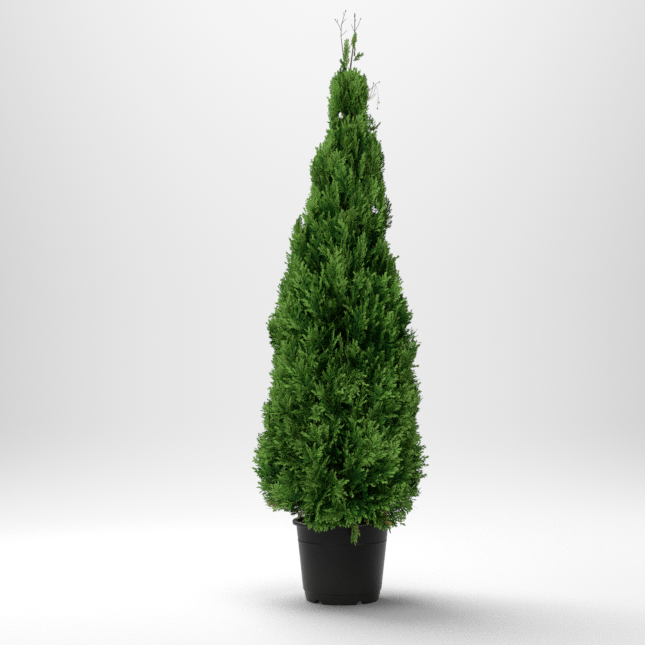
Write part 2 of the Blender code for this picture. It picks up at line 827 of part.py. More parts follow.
def build():
    for old in list(bpy.data.objects):
        bpy.data.objects.remove(old)
    plant = bpy.data.collections.new("arborvitae")
    cutters = bpy.data.collections.new("cutters")
    bpy.context.scene.collection.children.link(plant)
    bpy.context.scene.collection.children.link(cutters)
    plastic = material("black plastic", (0.019, 0.019, 0.018), 0.46)
    peat = material("peat", (0.035, 0.022, 0.014), 0.95)
    bark = material("bark", (0.150, 0.085, 0.050), 0.85)
    leaf = material("leaf", (0.075, 0.190, 0.030), 0.60)

    pot(plant, cutters, plastic)
    soil(plant, peat)
    axis = [Vector((x, 0, height)) for height, x, _ in STATIONS]
    thickness = [radius for _, _, radius in STATIONS]
    limb("trunk", axis, thickness, plant, bark, (STEM_SIDES - 4) // 2)

    leader = side_limb(LEADER_FORK, LEADER_TIP, 0.010, 0.060, 0.0019, 0.0011, 8)
    dry_twig = side_limb(DRY_TWIG_FORK, DRY_TWIG_TIP, 0.030, 0.012, 0.0016, 0.0009, 8)
    rim_branch = side_limb(RIM_BRANCH_FORK, RIM_BRANCH_TIP, 0.130, 0.080, 0.0030, 0.0018, 10)
    limb("bough_second_leader", *leader, plant, bark, 1)
    limb("bough_dry_twig", *dry_twig, plant, bark, 1)
    limb("bough_over_rim", *rim_branch, plant, bark, 1)
    lines = [dense_points(*one) for one in (leader, dry_twig, rim_branch)] + clearings()

    leader_twigs = LEADER_TIP + UP * SEAT
    dry_twigs = DRY_TWIG_TIP + Vector((SEAT, 0, 0))
    bare_mass("twigs_second_leader", leader_twigs, Vector((0.10, 0, 1)), 5, 0.078, 4, plant, bark)
    bare_mass("twigs_dry", dry_twigs, Vector((0.75, 0, 0.55)), 9, 0.045, 3, plant, bark)
    for mass in crown_masses():
        foliage_mass(mass, lines, plant, leaf)
    for settings in TUFTS:
        tuft(*settings, lines, plant, leaf)


build()
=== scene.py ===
"""Looks of the potted emerald green arborvitae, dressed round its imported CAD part.

The crown grows again here by the source's rule. The same masses on the same stem bear many more shoots,
each shoot bears flat sprays, and each spray bears sprigs of scaly twiglets. Metres, +Z up, -Y the front,
bearings counted from +X towards the back.
"""

import json
import math
import random

import bmesh
import bpy
import numpy as np
from mathutils import Matrix, Vector, noise

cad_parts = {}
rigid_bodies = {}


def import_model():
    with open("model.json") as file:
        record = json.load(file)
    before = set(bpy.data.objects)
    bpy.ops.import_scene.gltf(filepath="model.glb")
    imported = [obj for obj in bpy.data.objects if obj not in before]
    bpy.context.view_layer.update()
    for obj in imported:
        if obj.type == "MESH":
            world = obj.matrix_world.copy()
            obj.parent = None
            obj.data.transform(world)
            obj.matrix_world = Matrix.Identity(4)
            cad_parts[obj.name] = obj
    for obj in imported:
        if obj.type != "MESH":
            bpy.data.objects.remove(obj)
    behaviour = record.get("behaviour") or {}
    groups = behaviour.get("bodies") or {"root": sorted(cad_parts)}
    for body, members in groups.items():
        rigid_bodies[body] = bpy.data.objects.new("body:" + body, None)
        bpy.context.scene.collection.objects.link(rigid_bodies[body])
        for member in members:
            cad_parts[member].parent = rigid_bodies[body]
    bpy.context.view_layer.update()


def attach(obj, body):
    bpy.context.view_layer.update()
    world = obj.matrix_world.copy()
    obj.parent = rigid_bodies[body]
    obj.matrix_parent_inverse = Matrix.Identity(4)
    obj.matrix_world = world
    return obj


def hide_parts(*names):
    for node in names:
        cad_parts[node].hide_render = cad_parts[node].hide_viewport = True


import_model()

UP = Vector((0, 0, 1))
GOLDEN = (math.sqrt(5) - 1) / 2

# Camera: level, with the whole plant and its pot in a square frame
CAMERA_PLACE = Vector((-0.0634, -5.2, 0.887))
SENSOR_WIDTH = 36
FRAME_PIXELS = 645
FOCAL_PIXELS = 1623.7

# Lamps: name, place, size, power, what it does with the floor
LAMPS = (
    ("back_left", (-2.0, 3.1, 3.4), 1.1, 150, "EXCLUDE"),
    ("front_left", (-2.6, -4.2, 3.0), 1.2, 170, "EXCLUDE"),
    ("front_right", (3.4, -3.6, 1.9), 2.4, 48, "EXCLUDE"),
    ("above", (0.2, -0.6, 4.4), 1.6, 45, None),
    ("floor_left", (-1.5, 2.0, 5.0), 3.5, 275, "INCLUDE"),
)
LAMPS_AIM = Vector((0, 0, 0.75))
AMBIENT = 0.20  # light from all round, apart from the backdrop that the camera sees
BACKDROP = 0.83  # its level straight behind the plant
SIDES_DARKER = 0.17
TOP_LIGHTER = 0.11
FLOOR_RADIUS = 11
FLOOR_FADES = (0.8, 2.6)  # distances between which the floor fades into the backdrop
FLOOR_GLOW = 0.045  # the floor's own faint light

# Pot, as in the source
POT_HEIGHT = 0.256
BASE_RADIUS = 0.1165
STEP_HEIGHT = 0.036
STEP_RADIUS = 0.1235
NECK_RADIUS = 0.1465
NECK_HEIGHT = 0.234
RIM_RADIUS = 0.1600
RIM_LIP = 0.003
RIM_FOOT = 0.243
WALL = 0.0028
FLOOR_HEIGHT = 0.020
FLOOR_THICKNESS = 0.004
HUB_RADIUS = 0.034
FOOT_RING_INSIDE = 0.094
ARCHES = 5
ARCH_BEARING = -60.0
ARCH_WIDTH = 0.032
ARCH_HEIGHT = 0.0135
SLOTS_BETWEEN = 3
SLOT_WIDTH = 0.005
SLOT_HEIGHT = 0.006
BEAD_HEIGHT = 0.192  # the band round the wall
BEAD = 0.0006
BEAD_HALF = 0.0015
BEAD_FOOT = 0.0002
POT_ROUNDING = 0.0008
TURN_STEPS = 144

# Soil
SOIL_HEIGHT = 0.234
SOIL_FLAT_RADIUS = 0.040
SOIL_SAG = 0.007
SOIL_RING = 0.004
SOIL_RINGS = 36
CRUMBS = 900
CRUMB_PLACES = (0.020, 0.136)
CRUMB_SIZES = (0.0012, 0.0042)
CRUMB_SHARES = (0.60, 0.32, 0.08)  # peat, bark, dry scales

# Stem and crown, as in the source
SEAT = 0.0003
STEM_FOOT = SOIL_HEIGHT + SEAT
STEM_TOP = 1.878
STEM_RADIUS = 0.0150
STEM_TIP_RADIUS = 0.0010
FLARE = 0.0110
FLARE_HEIGHT = 0.022
SWEEP_FROM = 1.30
SWEEP_TO = 1.80
SWEEP = 0.040
# The crown's outline: height, radius
PROFILE = (
    (0.205, 0.185),
    (0.290, 0.240),
    (0.420, 0.270),
    (0.640, 0.250),
    (0.850, 0.238),
    (1.020, 0.198),
    (1.200, 0.157),
    (1.400, 0.125),
    (1.550, 0.082),
    (1.670, 0.060),
    (1.720, 0.024),
)
# Where it stands out or draws in: bearing, height, growth, spread in degrees, spread in height
BULGES = (
    (180, 1.49, -0.048, 55, 0.065),
    (180, 1.31, -0.040, 50, 0.070),
    (180, 0.89, 0.014, 40, 0.050),
    (180, 0.72, -0.018, 45, 0.045),
    (180, 0.45, 0.014, 40, 0.060),
    (180, 0.25, -0.065, 70, 0.032),
    (0, 1.45, 0.022, 50, 0.060),
    (0, 1.24, 0.016, 40, 0.045),
    (0, 1.15, -0.022, 45, 0.030),
    (0, 0.82, 0.014, 35, 0.040),
    (0, 0.72, -0.012, 40, 0.035),
    (0, 0.64, 0.012, 35, 0.040),
    (0, 0.28, -0.030, 50, 0.050),
)
# Gaps to the sky, seen from the camera: x, z, radius
WINDOWS = ((0.106, 1.243, 0.015), (0.000, 1.548, 0.0155), (0.025, 1.704, 0.010))
# Tiers of masses: name, height, masses, first bearing, length of a spray
TIERS = (
    ("skirt", 0.360, 6, 36, 0.155),
    ("hip", 0.545, 6, 6, 0.162),
    ("waist", 0.730, 5, 0, 0.162),
    ("chest", 0.905, 5, 36, 0.156),
    ("shoulder", 1.075, 4, 45, 0.146),
    ("neck", 1.235, 4, 0, 0.130),
    ("collar", 1.385, 3, 30, 0.115),
    ("crest", 1.530, 3, 60, 0.100),
)
COMPASS = ("right", "back_right", "back", "back_left", "left", "front_left", "front", "front_right")
UPSWEEP = 1.05  # rise over run of the planes that part the tiers
TOP_SPACING = 0.19
SPACE_MARGIN = 0.0012
LIMB_MARGIN = 0.0015
LIMB_START = 0.004  # how far a limb runs level before it bends
LOWEST_FOOT = 0.262
MASS_STEM_RADIUS = 0.0044
MASS_TIP_RADIUS = 0.0015
# Places on a mass's stem, as shares of the crown's radius there
MIDDLE_SHARE = 0.55
KNEE_SHARE = 0.28
END_SHARE = 0.16
LEVEL_STEP = 0.01

# Finer growth: shoots on a mass, a flat frond on each, sprays on a frond, sprigs on a spray
SHOOTS_PER_AREA = 700  # to each square metre of a mass's surface
THICKNESS = (2.1, 0.95)  # of the growth, at the crown's foot and from its fourth tier up
CREST_THICKER = 0.45
FROND_SPRAYS = 8
# Layers of fronds from the outside in: least and most depth as a share of the radius, coarseness of sprigs.
# The outermost keeps to the plumes and hollows instead.
LAYERS = ((0.9, 1.0, 1.0), (0.45, 0.82, 1.45), (0.22, 0.55, 2.2))
UNDER_SHOOTS = 12  # inner shoots that close the underside of each lowest mass
TWIG_RADIUS = 0.0017
TWIG_TIP_RADIUS = 0.0006
AXIS_WIDTH = 0.0020
TWIG_CLEAR = 0.003  # from the pot
LEAF_CLEAR = 0.001
SPREAD_PAST = 0.006  # how far a spray's sprigs reach past its end
PAST_SURFACE = 0.006  # how far a sprig's middle may be past the crown's surface
CREST_LEVEL = 1.662  # above this the crown keeps its width, up to its blunt top
CREST_TOP = 1.672
DRY_BELOW = 0.330  # fronds with dry tips are below this
DRY_SHARE = 0.16
DRYNESS = 0.80
LEADER_LEVEL = 1.704  # the tufts above this stand free beside the leaders
LEADER_COARSE = 0.80  # the leaders' sprigs are finer
LEADER_FAN = (26, 12, 0.38)
LEADER_DRYNESS = 0.40
LEADER_SEED = 7
HANGING_FAN = (44, 22, 0.50)

# Plumes and hollows of the crown's surface, each pair at its foot and in its upper part
SWELL = 0.016  # how far plumes stand out and hollows lie in
SWELL_WIDE = (0.046, 0.028)
SWELL_TALL = (0.075, 0.150)
SWELL_FROM = 0.5  # the height up to which the first of each pair holds
SWELL_CHANGE = 0.6  # the rise from there to the second

# Shoots, each pair at the crown's foot and in its upper tiers
SHOOT_OUT = (0.85, 0.30)
SHOOT_RISE = (0.62, 1.25)
SHOOT_RISE_SPREAD = (0.48, 0.22)
SHOOT_LEAN_SPREAD = (0.40, 0.20)
FAN_WIDE = (56, 36)  # degrees between a frond and its lowest sprays
FAN_NARROW = (34, 18)  # the same near its end
FAN_BREADTH = (0.62, 0.52)  # its lowest sprays' length, as a share of its own
FROND_SHARE = (0.62, 0.80)  # of the length that the source gives a spray
JOINT_SLOPE = (0.30, 0.95)  # how steeply its twig leaves the mass's stem

# Tones run from 0, dark, to 1, light
TONE_STEPS = (0.16, 0.38, 0.60, 0.82, 1.04)  # between one leaf colour and the next
SHOOT_TONE = (0.74, 0.66)  # at the crown's foot and at its top
CREST_RANK = 0.8  # from here up, of 1, shoots get lighter again
CREST_TONE = 1.40
PLUME_AND_HOLLOW_PAINTED_SHADING = 0.30  # painted light for a shoot on a plume, and painted shade for one in a hollow
TONE_SPREAD = 0.11
# Painted light at the crown's surface and painted shade towards its inside, added to the leaves' tones
SURFACE_PAINTED_LIGHT = 0.24
INSIDE_PAINTED_SHADE = -0.32
TONE_DEPTH = 0.070  # depth inside the surface over which painted shade takes away 1 of tone
FREE_TUFT_PAINTED_LIGHT = 0.16  # painted light for the tufts beside the leaders, in place of the painted light and shade by depth
AXIS_DARKER = 0.25

# Sprays of a frond and sprigs of a spray, with lengths as shares
SPRAY_PLACES = (0.06, 0.90)
END_SPRAY = 0.30
SPRIG_FROM = 0.08
SPRIG_TO = 0.90
SPRIG_TURN = (40, 24)  # degrees between a spray and its first and last side sprigs
SPRIG_LENGTH = 0.50
END_SPRIG_LENGTH = 0.34
LEAST_SPRIG = 0.006
# Sprigs of a spray, foot to tip: how many, side twiglets, width over length, kinds made
SPRIG_KINDS = ((6, 1, 0.135, 5), (5, 1, 0.150, 5), (2, 1, 0.200, 4))
# Outlines of a twiglet and of the twiglets on its sides: half width, share of length
TWIGLET_OUTLINE = ((0.40, 0.25), (0.50, 0.78))
SIDE_OUTLINE = ((0.50, 0.66),)

# The crown's lowest edge: bearing, height
LOW_EDGE = (
    (-180, 0.278),
    (-140, 0.274),
    (-118, 0.262),
    (-58, 0.262),
    (-50, 0.236),
    (15, 0.236),
    (40, 0.250),
    (140, 0.264),
    (180, 0.278),
)
# Where the fine growth is shorter or longer than the source's sprays, in the same form as BULGES
TRIMS = (
    (180, 0.80, -0.018, 40, 0.075),
    (180, 0.41, 0.012, 40, 0.050),
    (0, 0.57, -0.022, 35, 0.045),
    (0, 1.18, -0.012, 40, 0.040),
    (0, 1.335, 0.010, 35, 0.030),
    (180, 1.03, 0.008, 35, 0.030),
    (180, 1.66, 0.005, 40, 0.030),
    (0, 1.66, 0.004, 40, 0.030),
    (0, 1.26, -0.009, 30, 0.025),
    (0, 1.03, -0.011, 30, 0.030),
)
# Fronds beside the leaders, by the piece that they belong to: foot, tip, tone
LEADER_FRONDS = {
    "leader_left": (
        ((0.0130, -0.006, 1.690), (0.0120, -0.010, 1.738), 0.85),
        ((0.0120, -0.006, 1.712), (0.0125, -0.010, 1.762), 1.00),
        ((0.0140, -0.008, 1.738), (0.0150, -0.010, 1.784), 1.05),
        ((0.0100, -0.006, 1.700), (-0.0040, -0.012, 1.724), 0.60),
        ((0.0120, -0.006, 1.685), (0.0020, -0.010, 1.706), 0.50),
    ),
    "leader_right": (
        ((0.0350, -0.002, 1.762), (0.0345, -0.004, 1.790), 0.72),
        ((0.0390, 0.000, 1.782), (0.0400, -0.002, 1.808), 0.78),
        ((0.0360, 0.000, 1.738), (0.0400, 0.002, 1.762), 0.65),
        ((0.0330, -0.003, 1.724), (0.0560, -0.008, 1.746), 0.55),
    ),
}
# Fronds that hang over the rim, and dry ones at its left and at the upper right, by their mass: foot, tip,
# tone, dryness
HANGING_FRONDS = {
    "foliage_skirt_front": (
        ((0.026, -0.168, 0.288), (0.036, -0.182, 0.222), 0.95, 0.35),
        ((-0.080, -0.130, 0.305), (-0.098, -0.166, 0.264), 0.48, 0.0),
        ((-0.070, -0.138, 0.300), (-0.082, -0.180, 0.258), 0.62, 0.0),
        ((-0.055, -0.142, 0.300), (-0.064, -0.186, 0.258), 0.50, 0.0),
        ((-0.040, -0.146, 0.296), (-0.046, -0.190, 0.262), 0.66, 0.0),
        ((-0.024, -0.148, 0.298), (-0.028, -0.190, 0.266), 0.46, 0.0),
        ((-0.008, -0.150, 0.296), (-0.008, -0.190, 0.270), 0.58, 0.0),
        ((0.006, -0.150, 0.300), (0.010, -0.186, 0.272), 0.42, 0.0),
        ((-0.090, -0.160, 0.350), (-0.108, -0.190, 0.296), 0.60, 0.0),
        ((-0.060, -0.170, 0.352), (-0.072, -0.208, 0.292), 0.50, 0.0),
        ((-0.034, -0.175, 0.350), (-0.040, -0.214, 0.290), 0.64, 0.0),
        ((-0.008, -0.175, 0.352), (-0.008, -0.214, 0.292), 0.48, 0.0),
        ((0.018, -0.175, 0.350), (0.024, -0.210, 0.292), 0.60, 0.0),
        ((0.042, -0.168, 0.350), (0.054, -0.200, 0.292), 0.50, 0.0),
    ),
    "foliage_skirt_front_left": (
        ((-0.108, -0.090, 0.306), (-0.132, -0.108, 0.284), 0.45, 0.9),
        ((-0.118, -0.070, 0.310), (-0.148, -0.084, 0.290), 0.55, 0.8),
        ((-0.096, -0.104, 0.300), (-0.116, -0.128, 0.276), 0.40, 0.7),
        ((-0.172, -0.050, 0.340), (-0.222, -0.056, 0.316), 0.60, 0.9),
        ((-0.158, -0.070, 0.330), (-0.200, -0.082, 0.306), 0.50, 0.8),
    ),
    "foliage_crest_front_right": (((0.086, -0.035, 1.492), (0.113, -0.040, 1.513), 0.30, 0.8),),
    "foliage_skirt_front_right": (
        ((0.090, -0.122, 0.290), (0.100, -0.160, 0.266), 0.58, 0.0),
        ((0.098, -0.115, 0.296), (0.112, -0.158, 0.260), 0.70, 0.0),
        ((0.106, -0.108, 0.292), (0.126, -0.148, 0.254), 0.54, 0.0),
        ((0.115, -0.098, 0.298), (0.140, -0.132, 0.258), 0.66, 0.0),
        ((0.125, -0.082, 0.292), (0.152, -0.112, 0.266), 0.50, 0.0),
        ((0.070, -0.120, 0.290), (0.084, -0.150, 0.264), 0.50, 0.8),
    ),
}
# Bare twigs by the CAD node that they stand for: points, first and last radius
BARE_TWIGS = {
    "twigs_second_leader": (
        (((-0.0040, -0.004, 1.8003), (-0.0042, -0.004, 1.814), (-0.0026, -0.003, 1.840)), 0.0011, 0.0009),
        (((-0.0026, -0.003, 1.840), (0.0055, -0.002, 1.869), (0.0119, 0.000, 1.888)), 0.0009, 0.0006),
        (((-0.0036, -0.004, 1.820), (-0.0110, -0.008, 1.838), (-0.0234, -0.010, 1.856)), 0.0008, 0.0006),
        (((-0.0160, -0.009, 1.845), (-0.0150, -0.010, 1.858)), 0.0006, 0.0005),
        (((-0.0015, -0.003, 1.842), (0.0040, -0.008, 1.850), (0.0119, -0.011, 1.857)), 0.0008, 0.0006),
        (((-0.0035, -0.004, 1.805), (0.0050, 0.004, 1.813), (0.0151, 0.008, 1.825)), 0.0008, 0.0006),
        (((0.0055, -0.002, 1.869), (0.0030, 0.003, 1.882)), 0.0006, 0.0005),
        (((0.0105, 0.000, 1.883), (0.0119, 0.000, 1.888)), 0.0018, 0.0012),
        (((-0.0220, -0.010, 1.854), (-0.0236, -0.010, 1.857)), 0.0017, 0.0012),
    ),
    "twigs_dry": (
        (((0.1003, -0.028, 1.640), (0.1050, -0.029, 1.646), (0.1170, -0.031, 1.652)), 0.0007, 0.0005),
        (((0.0860, -0.032, 1.602), (0.0940, -0.034, 1.622), (0.0990, -0.035, 1.648)), 0.0008, 0.0005),
        (((0.0840, -0.034, 1.598), (0.0990, -0.036, 1.612), (0.1060, -0.037, 1.640)), 0.0008, 0.0005),
        (((0.0820, -0.036, 1.592), (0.0940, -0.038, 1.600), (0.1080, -0.038, 1.616)), 0.0007, 0.0005),
        (((0.1050, -0.029, 1.646), (0.1120, -0.032, 1.625), (0.1160, -0.033, 1.588)), 0.0004, 0.0003),
        (((0.1140, -0.033, 1.606), (0.1120, -0.034, 1.590), (0.1110, -0.034, 1.569)), 0.0004, 0.0003),
        (((0.1160, -0.033, 1.589), (0.1164, -0.033, 1.584)), 0.0022, 0.0012),
        (((0.1110, -0.034, 1.570), (0.1112, -0.034, 1.565)), 0.0022, 0.0012),
        (((0.1165, -0.031, 1.651), (0.1190, -0.031, 1.654)), 0.0016, 0.0010),
        (((0.0988, -0.035, 1.646), (0.0992, -0.035, 1.651)), 0.0016, 0.0010),
    ),
    "trunk": (
        (((0.0420, 0.000, 1.822), (0.0500, -0.004, 1.836), (0.0590, -0.006, 1.860)), 0.0008, 0.0006),
        (((0.0410, 0.000, 1.815), (0.0340, 0.004, 1.828), (0.0290, 0.006, 1.843)), 0.0008, 0.0006),
        (((0.0400, 0.000, 1.848), (0.0450, 0.006, 1.860)), 0.0007, 0.0005),
        (((0.0400, 0.000, 1.866), (0.0402, 0.000, 1.876)), 0.0021, 0.0014),
        (((0.0585, -0.006, 1.857), (0.0592, -0.006, 1.861)), 0.0017, 0.0012),
    ),
}
# The boughs that show, by their CAD node: piece, fork, tip, run out, rise, first and last radius, bends
SIDE_LIMBS = {
    "bough_second_leader": ("second_leader", 1.668, (-0.004, -0.004, 1.8), 0.010, 0.060, 0.0019, 0.0011, 8),
    "bough_dry_twig": ("dry_twig", 1.575, (0.100, -0.028, 1.640), 0.030, 0.012, 0.0016, 0.0009, 8),
    "bough_over_rim": ("rim_branch", 0.2495, (0.150, -0.110, 0.226), 0.130, 0.080, 0.0030, 0.0018, 10),
}
LIMB_RELIEF = (8, 60, 0.18, 1.2)  # sides, rings, height of the ridges, how often they change
TRUNK_RELIEF = (22, 320, 0.16, 1.6)
# Hollows in the crown's face: bearing, height, radius
POCKETS = (
    (-65, 0.84, 0.034),
    (-90, 0.62, 0.030),
    (-125, 0.62, 0.030),
    (-78, 0.38, 0.028),
    (-120, 1.23, 0.030),
    (-45, 1.07, 0.026),
    (-86, 1.595, 0.017),
    (-84, 1.560, 0.018),
    (-82, 1.525, 0.019),
    (-80, 1.487, 0.018),
    (-70, 1.200, 0.024),
    (-100, 0.98, 0.024),
    (-60, 0.45, 0.024),
)


def mix(low, high, share):
    return low + (high - low) * share


def bearing_vector(degrees):
    angle = math.radians(degrees)
    return Vector((math.cos(angle), math.sin(angle), 0))


def arc_point(start, bend, end, share):
    return start.lerp(bend, share).lerp(bend.lerp(end, share), share)


def arc(start, bend, end, count):
    return [arc_point(start, bend, end, n / (count - 1)) for n in range(count)]


# Camera, light and stage


def make_camera():
    data = bpy.data.cameras.new("camera")
    data.sensor_width = SENSOR_WIDTH
    data.lens = FOCAL_PIXELS / FRAME_PIXELS * data.sensor_width
    made = bpy.data.objects.new("camera", data)
    made.location = CAMERA_PLACE
    made.rotation_euler = (math.radians(90), 0, 0)
    bpy.context.scene.collection.objects.link(made)
    bpy.context.scene.camera = made


class Value:
    """A shader socket in an expression. Operators add the nodes that work it out."""

    def __init__(self, tree, socket):
        self.tree = tree
        self.socket = socket

    def maths(self, operation, *values):
        return node(self.tree, "ShaderNodeMath", {"operation": operation}, dict(enumerate(values)))

    def __add__(self, other):
        return self.maths("ADD", self, other)

    def __sub__(self, other):
        return self.maths("SUBTRACT", self, other)

    def __rsub__(self, other):
        return self.maths("SUBTRACT", other, self)

    def __mul__(self, other):
        return self.maths("MULTIPLY", self, other)

    def __truediv__(self, other):
        return self.maths("DIVIDE", self, other)

    __radd__ = __add__
    __rmul__ = __mul__

    def between(self, low, high):
        """0 at low, 1 at high, smooth and clamped."""
        settings = {"interpolation_type": "SMOOTHSTEP"}
        inputs = {"Value": self, "From Min": low, "From Max": high}
        return node(self.tree, "ShaderNodeMapRange", settings, inputs)


def node(tree, kind, settings=None, inputs=None, output=0):
    """A node of the kind, with its settings made first and then its sockets given values or links."""
    made = tree.nodes.new(kind)
    for name, value in (settings or {}).items():
        if name == "stops":
            ramp = made.color_ramp.elements
            while len(ramp) < len(value):
                ramp.new(0.5)
            for stop, (place, colour) in zip(ramp, value):
                stop.position = place
                stop.color = (*colour, 1)
        else:
            setattr(made, name, value)
    for name, value in (inputs or {}).items():
        if isinstance(value, Value):
            tree.links.new(value.socket, made.inputs[name])
        else:
            made.inputs[name].default_value = value
    return Value(tree, made.outputs[output])


class Finish:
    """A material on the Principled shader, with its constants set on the shader's own sockets."""

    def __init__(self, name, **constants):
        self.made = bpy.data.materials.new(name)
        self.made.use_nodes = True
        self.tree = self.made.node_tree
        self.shader = self.tree.nodes["Principled BSDF"]
        for socket, value in constants.items():
            self.set(socket.replace("_", " "), value)

    def set(self, socket, value):
        if isinstance(value, Value):
            self.tree.links.new(value.socket, self.shader.inputs[socket])
        elif isinstance(value, tuple):
            self.shader.inputs[socket].default_value = (*value, 1)
        else:
            self.shader.inputs[socket].default_value = value

    def node(self, kind, settings=None, inputs=None, output=0):
        return node(self.tree, kind, settings, inputs, output)

    def place(self, stretch=(1, 1, 1)):
        """Object coordinates, stretched."""
        point = self.node("ShaderNodeTexCoord", output="Object")
        return self.node("ShaderNodeMapping", {}, {"Vector": point, "Scale": stretch})

    def noise(self, scale, detail, rough, stretch=(1, 1, 1)):
        inputs = {"Vector": self.place(stretch), "Scale": scale, "Detail": detail, "Roughness": rough}
        return self.node("ShaderNodeTexNoise", {}, inputs)

    def blend(self, factor, one, two):
        """Colour between two, each an RGB tuple or a link."""
        settings = {"data_type": "RGBA"}
        colours = [value if isinstance(value, Value) else (*value, 1) for value in (one, two)]
        return self.node("ShaderNodeMix", settings, {0: factor, 6: colours[0], 7: colours[1]}, 2)

    def bump(self, height, depth, strength):
        return self.node("ShaderNodeBump", {}, {"Strength": strength, "Distance": depth, "Height": height})


def make_lights(floor):
    """Large soft lamps. Most leave out the floor, and a larger one behind lights the floor alone."""
    for name, place, size, power, floor_state in LAMPS:
        data = bpy.data.lights.new(name, "AREA")
        data.size = size
        data.energy = power
        made = bpy.data.objects.new(name, data)
        made.location = place
        made.rotation_euler = (LAMPS_AIM - Vector(place)).to_track_quat("-Z", "Y").to_euler()
        bpy.context.scene.collection.objects.link(made)
        if floor_state:
            lit = bpy.data.collections.new("lit_by_" + name)
            lit.objects.link(floor)
            lit.collection_objects[0].light_linking.link_state = floor_state
            made.light_linking.receiver_collection = lit


def make_world():
    """A pale backdrop, brightest behind the plant and towards the top, and white below, as the floor is."""
    world = bpy.data.worlds.new("studio")
    bpy.context.scene.world = world
    world.use_nodes = True
    tree = world.node_tree
    way = node(tree, "ShaderNodeTexCoord", output="Generated")
    split = node(tree, "ShaderNodeSeparateXYZ", {}, {0: way}).socket.node
    across, rise = (Value(tree, split.outputs[name]) for name in ("X", "Z"))
    aside = across * across / 0.038  # 1 at 11 degrees to the side
    level = BACKDROP - SIDES_DARKER * aside.maths("MINIMUM", aside, 1.4)
    level = level + TOP_LIGHTER * rise.between(0, 0.26)
    low = (0 - rise).between(0.055, 0.155)
    seen = node(tree, "ShaderNodeLightPath")
    shade = tree.nodes["Background"]
    tree.links.new((AMBIENT + (level + (1 - level) * low - AMBIENT) * seen).socket, shade.inputs["Color"])


def make_floor():
    """A white floor that fades into the backdrop."""
    bm = bmesh.new()
    bmesh.ops.create_circle(bm, cap_ends=True, segments=96, radius=FLOOR_RADIUS)
    made = mesh_object("floor", bm)
    white = (0.86, 0.86, 0.86)
    finish = Finish("white floor", Base_Color=white, Roughness=0.9, Emission_Strength=FLOOR_GLOW)
    point = finish.node("ShaderNodeTexCoord", output="Object")
    far = finish.node("ShaderNodeVectorMath", {"operation": "LENGTH"}, {0: point}, 1)
    clear = finish.node("ShaderNodeBsdfTransparent")
    faded = finish.node("ShaderNodeMixShader", {}, {0: far.between(*FLOOR_FADES)})
    joined = faded.socket.node
    finish.tree.links.new(finish.shader.outputs[0], joined.inputs[1])
    finish.tree.links.new(clear.socket, joined.inputs[2])
    finish.tree.links.new(joined.outputs[0], finish.tree.nodes["Material Output"].inputs["Surface"])
    made.data.materials.append(finish.made)
    return made


# Meshes


def mesh_object(name, bm):
    """An object of the finished bmesh, which is freed."""
    mesh = bpy.data.meshes.new(name)
    bm.to_mesh(mesh)
    bm.free()
    made = bpy.data.objects.new(name, mesh)
    bpy.context.scene.collection.objects.link(made)
    return made


def finished(made, slot, nodes, *finishes):
    """Gives a piece its finishes and its body, and hides the CAD nodes that it stands for. The slot is not
    used.
    """
    for finish in finishes:
        made.data.materials.append(finish.made)
    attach(made, "root")
    if nodes:
        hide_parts(*nodes)
    return made


class Joined:
    """Many copies of small shapes in one mesh, with a finish for each copy."""

    def __init__(self):
        self.corners, self.faces, self.finish, self.count = [], [], [], 0

    def add(self, corners, faces, finish):
        copies, each = corners.shape[:2]
        first = self.count + np.arange(copies) * each
        self.corners.append(corners.reshape(-1, 3))
        self.faces.append((faces[None] + first[:, None, None]).reshape(-1, 3))
        self.finish.append(np.repeat(finish, len(faces)))
        self.count += copies * each

    def made(self, name):
        corners = np.concatenate(self.corners)
        faces = np.concatenate(self.faces)
        mesh = bpy.data.meshes.new(name)
        mesh.vertices.add(len(corners))
        mesh.vertices.foreach_set("co", corners.astype(np.float32).ravel())
        mesh.loops.add(faces.size)
        mesh.loops.foreach_set("vertex_index", faces.astype(np.int32).ravel())
        mesh.polygons.add(len(faces))
        mesh.polygons.foreach_set("loop_start", np.arange(0, faces.size, 3, dtype=np.int32))
        mesh.polygons.foreach_set("material_index", np.concatenate(self.finish).astype(np.int32))
        mesh.update(calc_edges=True)
        made = bpy.data.objects.new(name, mesh)
        bpy.context.scene.collection.objects.link(made)
        return made


# Stem and crown, as in the source


def stem_stations():
    heights = [STEM_FOOT + 0.011 * n for n in range(6)]
    heights += [mix(heights[5], SWEEP_FROM, n / 3) for n in (1, 2, 3)]
    heights += [mix(SWEEP_FROM, STEM_TOP, n / 9) for n in range(1, 10)]
    stations = []
    for height in heights:
        share = min(max((height - SWEEP_FROM) / (SWEEP_TO - SWEEP_FROM), 0), 1)
        up = height - STEM_FOOT
        taper = mix(STEM_RADIUS, STEM_TIP_RADIUS, up / (STEM_TOP - STEM_FOOT))
        stations.append((height, SWEEP * share * share, taper + FLARE * math.exp(-up / FLARE_HEIGHT)))
    return stations


STATIONS = stem_stations()


def stem_at(height):
    height = min(max(height, STEM_FOOT), STEM_TOP)
    for (low, x, radius), (high, next_x, next_radius) in zip(STATIONS, STATIONS[1:]):
        if height <= high:
            share = (height - low) / (high - low)
            return mix(x, next_x, share), mix(radius, next_radius, share)


def stem_axis(height):
    return Vector((stem_at(height)[0], 0, height))


def stem_radius(height):
    return stem_at(height)[1]


def off_bark(height, outward, thick):
    axis = stem_axis(height)
    reach = max(
        (stem_axis(level) - axis).dot(outward) + stem_radius(level)
        for level in (height - thick, height, height + thick)
    )
    return axis + outward * (reach + SEAT)


def bulged(bearing, height, bulges):
    middle, level, growth, turn, rise = np.transpose(bulges)
    off = (np.asarray(bearing)[..., None] - middle + 180) % 360 - 180
    up = np.asarray(height)[..., None] - level
    return (growth * np.exp(-((off / turn) ** 2) - (up / rise) ** 2)).sum(axis=-1)


